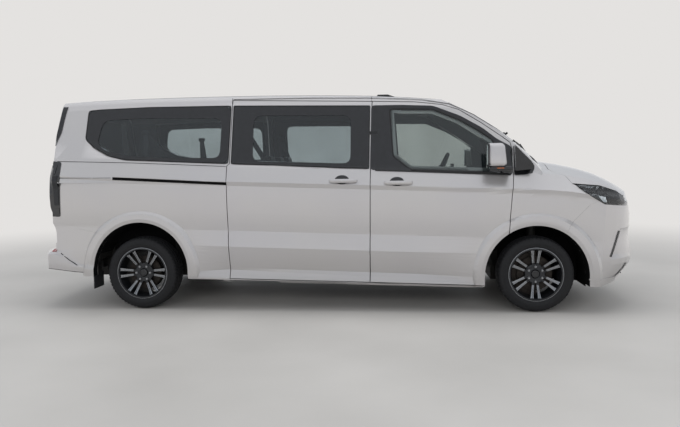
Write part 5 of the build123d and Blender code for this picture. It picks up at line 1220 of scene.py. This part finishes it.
# Small parts of the cabin: blocks as corners, bevel, steps and finish, and tubes as ends, radius, sides and finish.
bm = bmesh.new()
block(bm, (1.615, -0.115, 1.52), (1.632, 0.115, 1.59), 0.012, 3, 0)
block(bm, (1.612, -0.105, 1.528), (1.616, 0.105, 1.582), 0.0, 1, 1)
tube(bm, (1.632, 0, 1.56), (1.672, 0, 1.59), 0.01, 12, 0)
placePiece(bm, "cabin_mirror", "trim", "grained polypropylene", "silvered glass")
bm = bmesh.new()
for x, y in ((1.33, 0.33), (1.33, 0.45), (1.32, 0.56)):
    block(bm, (x - 0.02, y - 0.03, 0.64), (x - 0.004, y + 0.03, 0.7), 0.004, 2, 0)
    tube(bm, (x - 0.01, y, 0.695), (x + 0.1, y, 0.905), 0.008, 10, 1)
block(bm, (1.06, -0.075, 0.86), (1.24, 0.075, 0.935), 0.015, 2, 2)
tube(bm, (1.12, 0.0, 0.93), (1.095, 0.0, 1.005), 0.008, 12, 1)
block(bm, (1.07, -0.024, 0.995), (1.12, 0.024, 1.045), 0.018, 3, 2)
placePiece(bm, "pedals_and_lever", "trim", "EPDM rubber", "dip coated steel", "slush moulded PVC")


def padMesh(bm, cap, voxel=0.012):
    # Foam in a sewn cover: the cover is blown out by the foam and drawn in between its corners.
    mesh = bpy.data.meshes.new("pad")
    bm.to_mesh(mesh)
    bm.free()
    pad = bpy.data.objects.new("pad", mesh)
    scene.collection.objects.link(pad)
    remesh = pad.modifiers.new("remesh", "REMESH")
    remesh.mode = "VOXEL"
    remesh.voxel_size = voxel
    graph = bpy.context.evaluated_depsgraph_get()
    pad.data = bpy.data.meshes.new_from_object(pad.evaluated_get(graph))
    pad.modifiers.clear()
    cloth = pad.modifiers.new("cloth", "CLOTH")
    cloth.settings.quality = 4
    cloth.settings.use_pressure = True
    cloth.settings.uniform_pressure_force = 4.0
    cloth.settings.effector_weights.gravity = 0.0
    rest = [v.co.copy() for v in pad.data.vertices]
    for step in range(1, 21):
        scene.frame_set(step)
        bpy.context.view_layer.update()
    graph = bpy.context.evaluated_depsgraph_get()
    soft = bpy.data.meshes.new_from_object(pad.evaluated_get(graph))
    pad.modifiers.clear()
    pad.data = soft
    scene.frame_set(1)
    for v, start in zip(soft.vertices, rest):
        move = v.co - start
        if move.length > cap:
            v.co = start + move.normalized() * cap
    made = pad.data.copy()
    bpy.data.objects.remove(pad)
    return made


def channelled(mesh, lines, depth=0.008, wide=0.008):
    # Sewn channels: the cover is pulled in along lines of stitching. Each line is a rule for how far off a point lies.
    moved = []
    for v in mesh.vertices:
        pull = sum(depth * math.exp(-(rule(v.co, v.normal) / wide) ** 2) for rule in lines)
        moved.append(v.co - v.normal * pull)
    for v, place in zip(mesh.vertices, moved):
        v.co = place


# Seats. Each row: name, x of the hip, the seats' places across, width, height of the cushion, and of back and headrest.
seat = {"long": 0.5, "thick": 0.118, "backThick": 0.104, "bolster": 0.095, "lean": 0.15, "fill": 0.8,
        "rows": [("front", 0.56, (0.4, -0.4), 0.5, 0.82, 0.62, 0.15),
                 ("middle", -0.47, (0.48, 0.0, -0.48), 0.45, 0.79, 0.5, 0.1),
                 ("rear", -1.42, (0.4, 0.0, -0.4), 0.39, 0.79, 0.5, 0.1)]}
for row, hip, centres, wide, top, backHigh, restHigh in seat["rows"]:
    half = wide / 2
    slope = math.atan2(seat["lean"], backHigh + 0.02)
    backLong = math.hypot(seat["lean"], backHigh + 0.02)
    seam = half - seat["bolster"]
    bm = bmesh.new()
    block(bm, (0.012, -half + 0.016, -seat["thick"] + 0.01), (seat["long"] - 0.012, half - 0.016, -0.016), 0.028, 3)
    cushion = padMesh(bm, 0.022)
    channelled(cushion, [
        lambda c, n: abs(abs(c.y) - seam) if n.z > 0.2 else 1.0,
        lambda c, n: abs(c.x - 0.17) if n.z > 0.3 and abs(c.y) < seam else 1.0,
        lambda c, n: abs(c.x - 0.33) if n.z > 0.3 and abs(c.y) < seam else 1.0,
        lambda c, n: abs(c.z + 0.045) if abs(n.z) < 0.7 else 1.0])
    bm = bmesh.new()
    block(bm, (-seat["backThick"] + 0.014, -half + 0.024, 0.012), (-0.014, half - 0.024, backLong - 0.018), 0.03, 3)
    bmesh.ops.subdivide_edges(bm, edges=bm.edges[:], cuts=1, use_grid_fill=True)
    for v in bm.verts:
        v.co.y *= 1 - 0.42 * max(0.0, v.co.z / backLong - 0.45) ** 1.6
    back = padMesh(bm, 0.02)
    channelled(back, [
        lambda c, n: abs(abs(c.y) - seam * (1 - 0.2 * max(0.0, c.z - 0.3))) if n.x > 0.2 else 1.0,
        lambda c, n: abs(c.z - 0.31 * backLong) if n.x > 0.3 and abs(c.y) < seam else 1.0,
        lambda c, n: abs(c.z - 0.68 * backLong) if n.x > 0.3 and abs(c.y) < seam else 1.0,
        lambda c, n: abs(c.x + 0.052) if abs(n.x) < 0.6 else 1.0])
    bm = bmesh.new()
    block(bm, (-0.038, -0.26 * wide, 0.01), (0.038, 0.26 * wide, restHigh - 0.01), 0.028, 3)
    rest = padMesh(bm, 0.01, 0.01)
    channelled(rest, [lambda c, n: abs(c.x) if abs(n.x) < 0.7 else 1.0], 0.004, 0.007)
    under = bmesh.new()
    for number, y in enumerate(centres):
        lean = Matrix.Translation((hip + 0.04, y, top - 0.02)) @ Matrix.Rotation(-slope, 4, "Y")
        for kind, mesh, place in (("cushion", cushion, Matrix.Translation((hip, y, top))), ("back", back, lean),
                                  ("headrest", rest, Matrix.Translation((hip - 0.16, y, top + backHigh)))):
            bm = bmesh.new()
            bm.from_mesh(mesh)
            bmesh.ops.transform(bm, matrix=place, verts=bm.verts)
            name = f"seat_{row}_{number + 1}_{kind}"
            placePiece(bm, name, "seat_cloth", "seat cloth", angle=60, outward=False)
        # Pedestal, pan, side covers with the recliner's round cap, headrest posts, buckle, back shell and feet.
        y0, y1 = y - half, y + half
        block(under, (hip + 0.08, y0 + 0.06, 0.503), (hip + 0.42, y1 - 0.06, top - 0.125), 0.012, 2, 0)
        block(under, (hip + 0.02, y0 + 0.012, top - 0.15), (hip + 0.47, y1 - 0.012, top - 0.112), 0.012, 2, 0)
        for way in (-1, 1):
            side, post = y + way * (half - 0.01), way * 0.055
            block(under, (hip - 0.05, side - 0.012, top - 0.15), (hip + 0.16, side + 0.01, top - 0.04), 0.01, 2, 0)
            tube(under, (hip + 0.01, side - way * 0.01, top - 0.06), (hip + 0.01, side + way * 0.012, top - 0.06),
                 0.042, 24, 0)
            tube(under, lean @ Vector((-0.05, post, backLong - 0.05)), (hip - 0.16, y + post, top + backHigh + 0.04),
                 0.0065, 12, 1)
        tube(under, (hip + 0.12, y1 - 0.03, top - 0.04), (hip + 0.085, y1 - 0.03, top + 0.055), 0.01, 10, 0)
        block(under, (hip + 0.066, y1 - 0.045, top + 0.04), (hip + 0.096, y1 - 0.015, top + 0.095), 0.005, 2, 2)
        low, high, up = half - 0.045, half * 0.8 - 0.03, backLong - 0.05
        shell = [(-0.112, -low, 0.03), (-0.112, low, 0.03), (-0.112, high, up), (-0.112, -high, up)]
        plate(under, [lean @ Vector(p) for p in shell], lean.to_3x3() @ Vector((0.016, 0, 0)))
        for x in (hip + 0.09, hip + 0.41):
            for foot in (y0 + 0.09, y1 - 0.09):
                block(under, (x - 0.03, foot - 0.02, 0.501), (x + 0.03, foot + 0.02, 0.516), 0.004, 2, 1)
    placePiece(under, f"seat_{row}_frames", "trim", "grained polypropylene", "dip coated steel", "red PMMA",
               replaced=["seats_" + row])
print("seats ready")

# Seat belts: taut webbing up the pillar to a high guide and across to the shoulder; then the height of the reel.
belt = {"wide": 0.046, "thick": 0.0016, "runs": [
    ((0.385, 0.855, 1.56), (0.43, 0.56, 1.4), 0.62),
    ((-0.76, 0.845, 1.6), (-0.61, 0.64, 1.29), 0.56),
    ((-1.7, 0.845, 1.6), (-1.56, 0.54, 1.29), 1.0)]}


def strap(bm, start, end):
    start, end = Vector(start), Vector(end)
    way = (end - start).normalized()
    across = way.cross(Vector((0, 1, 0))).normalized()
    if abs(way.z) < 0.9:
        across = (across + Vector((0.2, 0, 0))).normalized()
    wide, thick = across * belt["wide"] / 2, way.cross(across).normalized() * belt["thick"] / 2
    ringLoft(bm, [[p - wide - thick, p + wide - thick, p + wide + thick, p - wide + thick] for p in (start, end)])


bm = bmesh.new()
for (x, y, z), shoulder, reel in belt["runs"]:
    strap(bm, (x, y + 0.01, reel), (x, y, z))
    strap(bm, (x, y, z), shoulder)
    block(bm, (x - 0.035, y - 0.012, z - 0.018), (x + 0.035, y + 0.02, z + 0.022), 0.008, 2, 1)
placePiece(bothSides(bm), "seat_belts", "trim", "belt webbing", "grained polypropylene")

# Door linings: arm rest, pull and loudspeaker ring on the inner face of each front door.
doorLining = {"blocks": [((0.64, 0.848, 0.93), (1.3, 0.905, 0.985), 0.016, 3, 0),
                         ((0.78, 0.842, 0.99), (0.96, 0.87, 1.02), 0.01, 2, 1),
                         ((1.13, 0.862, 1.062), (1.215, 0.878, 1.086), 0.006, 2, 2)],
              "tubes": [((1.25, 0.862, 0.7), (1.25, 0.905, 0.7), 0.092, 40, 0),
                        ((1.25, 0.858, 0.7), (1.25, 0.864, 0.7), 0.08, 40, 1),
                        ((1.2, 0.87, 1.075), (1.2, 0.905, 1.075), 0.018, 20, 2)]}
for sideName, side in sides:
    bm = bmesh.new()
    for row in doorLining["blocks"]:
        block(bm, *row)
    for row in doorLining["tubes"]:
        tube(bm, *row)
    placePiece(onSide(bm, side), "door_lining_" + sideName, "trim", "grey moulded trim", "grained polypropylene",
               "zinc plated steel", body="door_" + sideName)
print("cabin ready")

# Mechanical parts: castings and axles keep their own form.
skin("engine_block", "engine_casting", "steel", "cast iron")
skin("front_axle", "front_axle_beam", "steel", "dip coated steel")
skin("front_struts", "front_strut_tubes", "steel", "dip coated steel")
skin("rear_axle", "rear_axle_beam", "steel", "dip coated steel")
for sideName, side in sides:
    knuckle = "knuckle_" + sideName
    skin(knuckle, "knuckle_casting_" + sideName, "brake_steel", "cast iron", body=knuckle)

# Engine cover with its ribs.
engineCover = {"inset": 0.03, "half": 0.26, "high": 0.03, "ribs": 5, "ribFrom": -0.2, "ribStep": 0.09, "ribWide": 0.03}
bm = bmesh.new()
low, high = (Vector(c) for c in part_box("engine_block"))
block(bm, (low.x + engineCover["inset"], -engineCover["half"], high.z - 0.004),
      (high.x - engineCover["inset"], engineCover["half"], high.z + engineCover["high"]), 0.016, 3, 0)
for k in range(engineCover["ribs"]):
    y = engineCover["ribFrom"] + engineCover["ribStep"] * k
    far = y + engineCover["ribWide"]
    block(bm, (low.x + 0.08, y, high.z + 0.028), (high.x - 0.08, far, high.z + 0.036), 0.003, 2, 0)
placePiece(bm, "engine_cover", "black_plastic", "grained polypropylene")

# Exhaust: a pipe with two silencers.
exhaust = {"pipe": 0.027, "line": [
    (1.58, -0.1, 0.33), (1.3, -0.22, 0.3), (0.4, -0.26, 0.3), (-0.3, -0.26, 0.305), (-0.95, -0.3, 0.33),
    (-1.2, -0.36, 0.42), (-1.6, -0.42, 0.47), (-2.0, -0.45, 0.42), (-2.42, -0.52, 0.33), (-2.6, -0.52, 0.31)],
    "silencers": [((0.55, -0.36, 0.245), (1.0, -0.16, 0.355), 0.045, 4),
                  ((-0.75, -0.38, 0.24), (-0.2, -0.14, 0.365), 0.05, 4)]}
bm = bmesh.new()
for a, b in zip(exhaust["line"], exhaust["line"][1:]):
    tube(bm, a, b, exhaust["pipe"], 18, 0)
    bmesh.ops.create_uvsphere(bm, u_segments=16, v_segments=10, radius=0.0272, matrix=Matrix.Translation(b))
for row in exhaust["silencers"]:
    block(bm, *row)
placePiece(bm, "exhaust", "steel", "zinc plated steel")

# Fuel tank with two straps.
tank = {"tank": ((-0.85, 0.12, 0.25), (0.55, 0.62, 0.438), 0.045, 4, 0), "straps": (-0.55, 0.25), "half": 0.02}
bm = bmesh.new()
block(bm, *tank["tank"])
for x in tank["straps"]:
    near, far = x - tank["half"], x + tank["half"]
    for y0, y1, top in ((0.1, 0.64, 0.252), (0.101, 0.109, 0.44), (0.628, 0.636, 0.44)):
        block(bm, (near, y0, 0.244), (far, y1, top), 0.002, 1, 1)
placePiece(bm, "fuel_tank", "black_plastic", "grained polypropylene", "dip coated steel")

# Frame: side rails as x from and to, cross members as x, and hanger plates with a boss beside the rear springs.
underFrame = {"rails": ((-2.45, -2.2), (-1.2, 1.28)), "railY": 0.7, "half": 0.035, "railZ": (0.345, 0.442),
              "members": (-1.15, -0.95, 0.68, 1.15), "memberZ": (0.372, 0.442),
              "hangers": ((-2.3, -2.12), (-1.52, -1.3)), "bolt": (-2.16, 0.29, 0.44)}
bm = bmesh.new()
half, y = underFrame["half"], underFrame["railY"]
for middle in (-y, y):
    low, high = underFrame["railZ"]
    for x0, x1 in underFrame["rails"]:
        block(bm, (x0, middle - half, low), (x1, middle + half, high), 0.006, 2, 0)
for x in underFrame["members"]:
    low, high = underFrame["memberZ"]
    block(bm, (x - half, -y, low), (x + half, y, high), 0.006, 2, 0)
placePiece(bm, "frame_rails", "steel", "dip coated steel")
bm = bmesh.new()
for x0, x1 in underFrame["hangers"]:
    x = (x0 + x1) / 2
    block(bm, (x0, 0.64, 0.26), (x1, 0.648, 0.6), 0.003, 1, 0)
    tube(bm, (x, 0.632, 0.33), (x, 0.658, 0.33), 0.022, 20, 0)
placePiece(bothSides(bm), "spring_hangers", "steel", "dip coated steel")
bm = bmesh.new()
x, low, high = underFrame["bolt"]
tube(bm, (x, 0.0, low), (x, 0.0, high), 0.02, 16, 1)
placePiece(bm, "spare_carrier_bolt", "steel", "EPDM rubber", "dip coated steel")

# Coil springs and dampers.
spring = {"x": -1.6, "y": 0.52, "from": 0.3, "high": 0.19, "radius": 0.058, "wire": 0.0075, "turns": 5, "steps": 24,
          "damper": ((-1.86, 0.6, 0.3), (-1.92, 0.55, 0.52)), "rod": ((-1.84, 0.615, 0.235), (-1.86, 0.6, 0.3))}
bm = bmesh.new()
for way in (-1, 1):
    rings = []
    count = spring["turns"] * spring["steps"]
    for k in range(count + 1):
        a = 2 * math.pi * k / spring["steps"]
        out = Vector((math.cos(a), math.sin(a), 0))
        middle = Vector((spring["x"], way * spring["y"], spring["from"] + spring["high"] * k / count))
        middle += out * spring["radius"]
        rings.append([middle + spring["wire"] * (out * math.cos(b) + Vector((0, 0, math.sin(b))))
                      for b in (2 * math.pi * j / 8 for j in range(8))])
    ringLoft(bm, rings)
    for part, radius, count in (("damper", 0.026, 20), ("rod", 0.012, 14)):
        tube(bm, *((x, way * y, z) for x, y, z in spring[part]), radius, count, 0)
placePiece(bm, "rear_springs", "steel", "dip coated steel")

# Brake discs behind the spokes, which turn with the wheels: two faces with vanes between, as y and radius from and to.
disc = {"steps": 72, "rings": ((-0.006, 0.004, 0.06, 0.15), (0.014, 0.024, 0.06, 0.15), (0.004, 0.014, 0.062, 0.14))}
for end in wheel["axles"]:
    for sideName, side in sides:
        bm = bmesh.new()
        for y0, y1, r0, r1 in disc["rings"]:
            spinProfile(bm, onRadius([(y0, r0), (y1, r0), (y1, r1), (y0, r1), (y0, r0)]), disc["steps"])
        placePiece(toWheel(bm, end, side), f"brake_disc_{end}_{sideName}", "brake_steel", "cast iron",
                   body=f"wheel_{end}_{sideName}", angle=30)
print("mechanical parts ready")

low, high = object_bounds()
print("size:", [round(high[i] - low[i], 3) for i in range(3)])
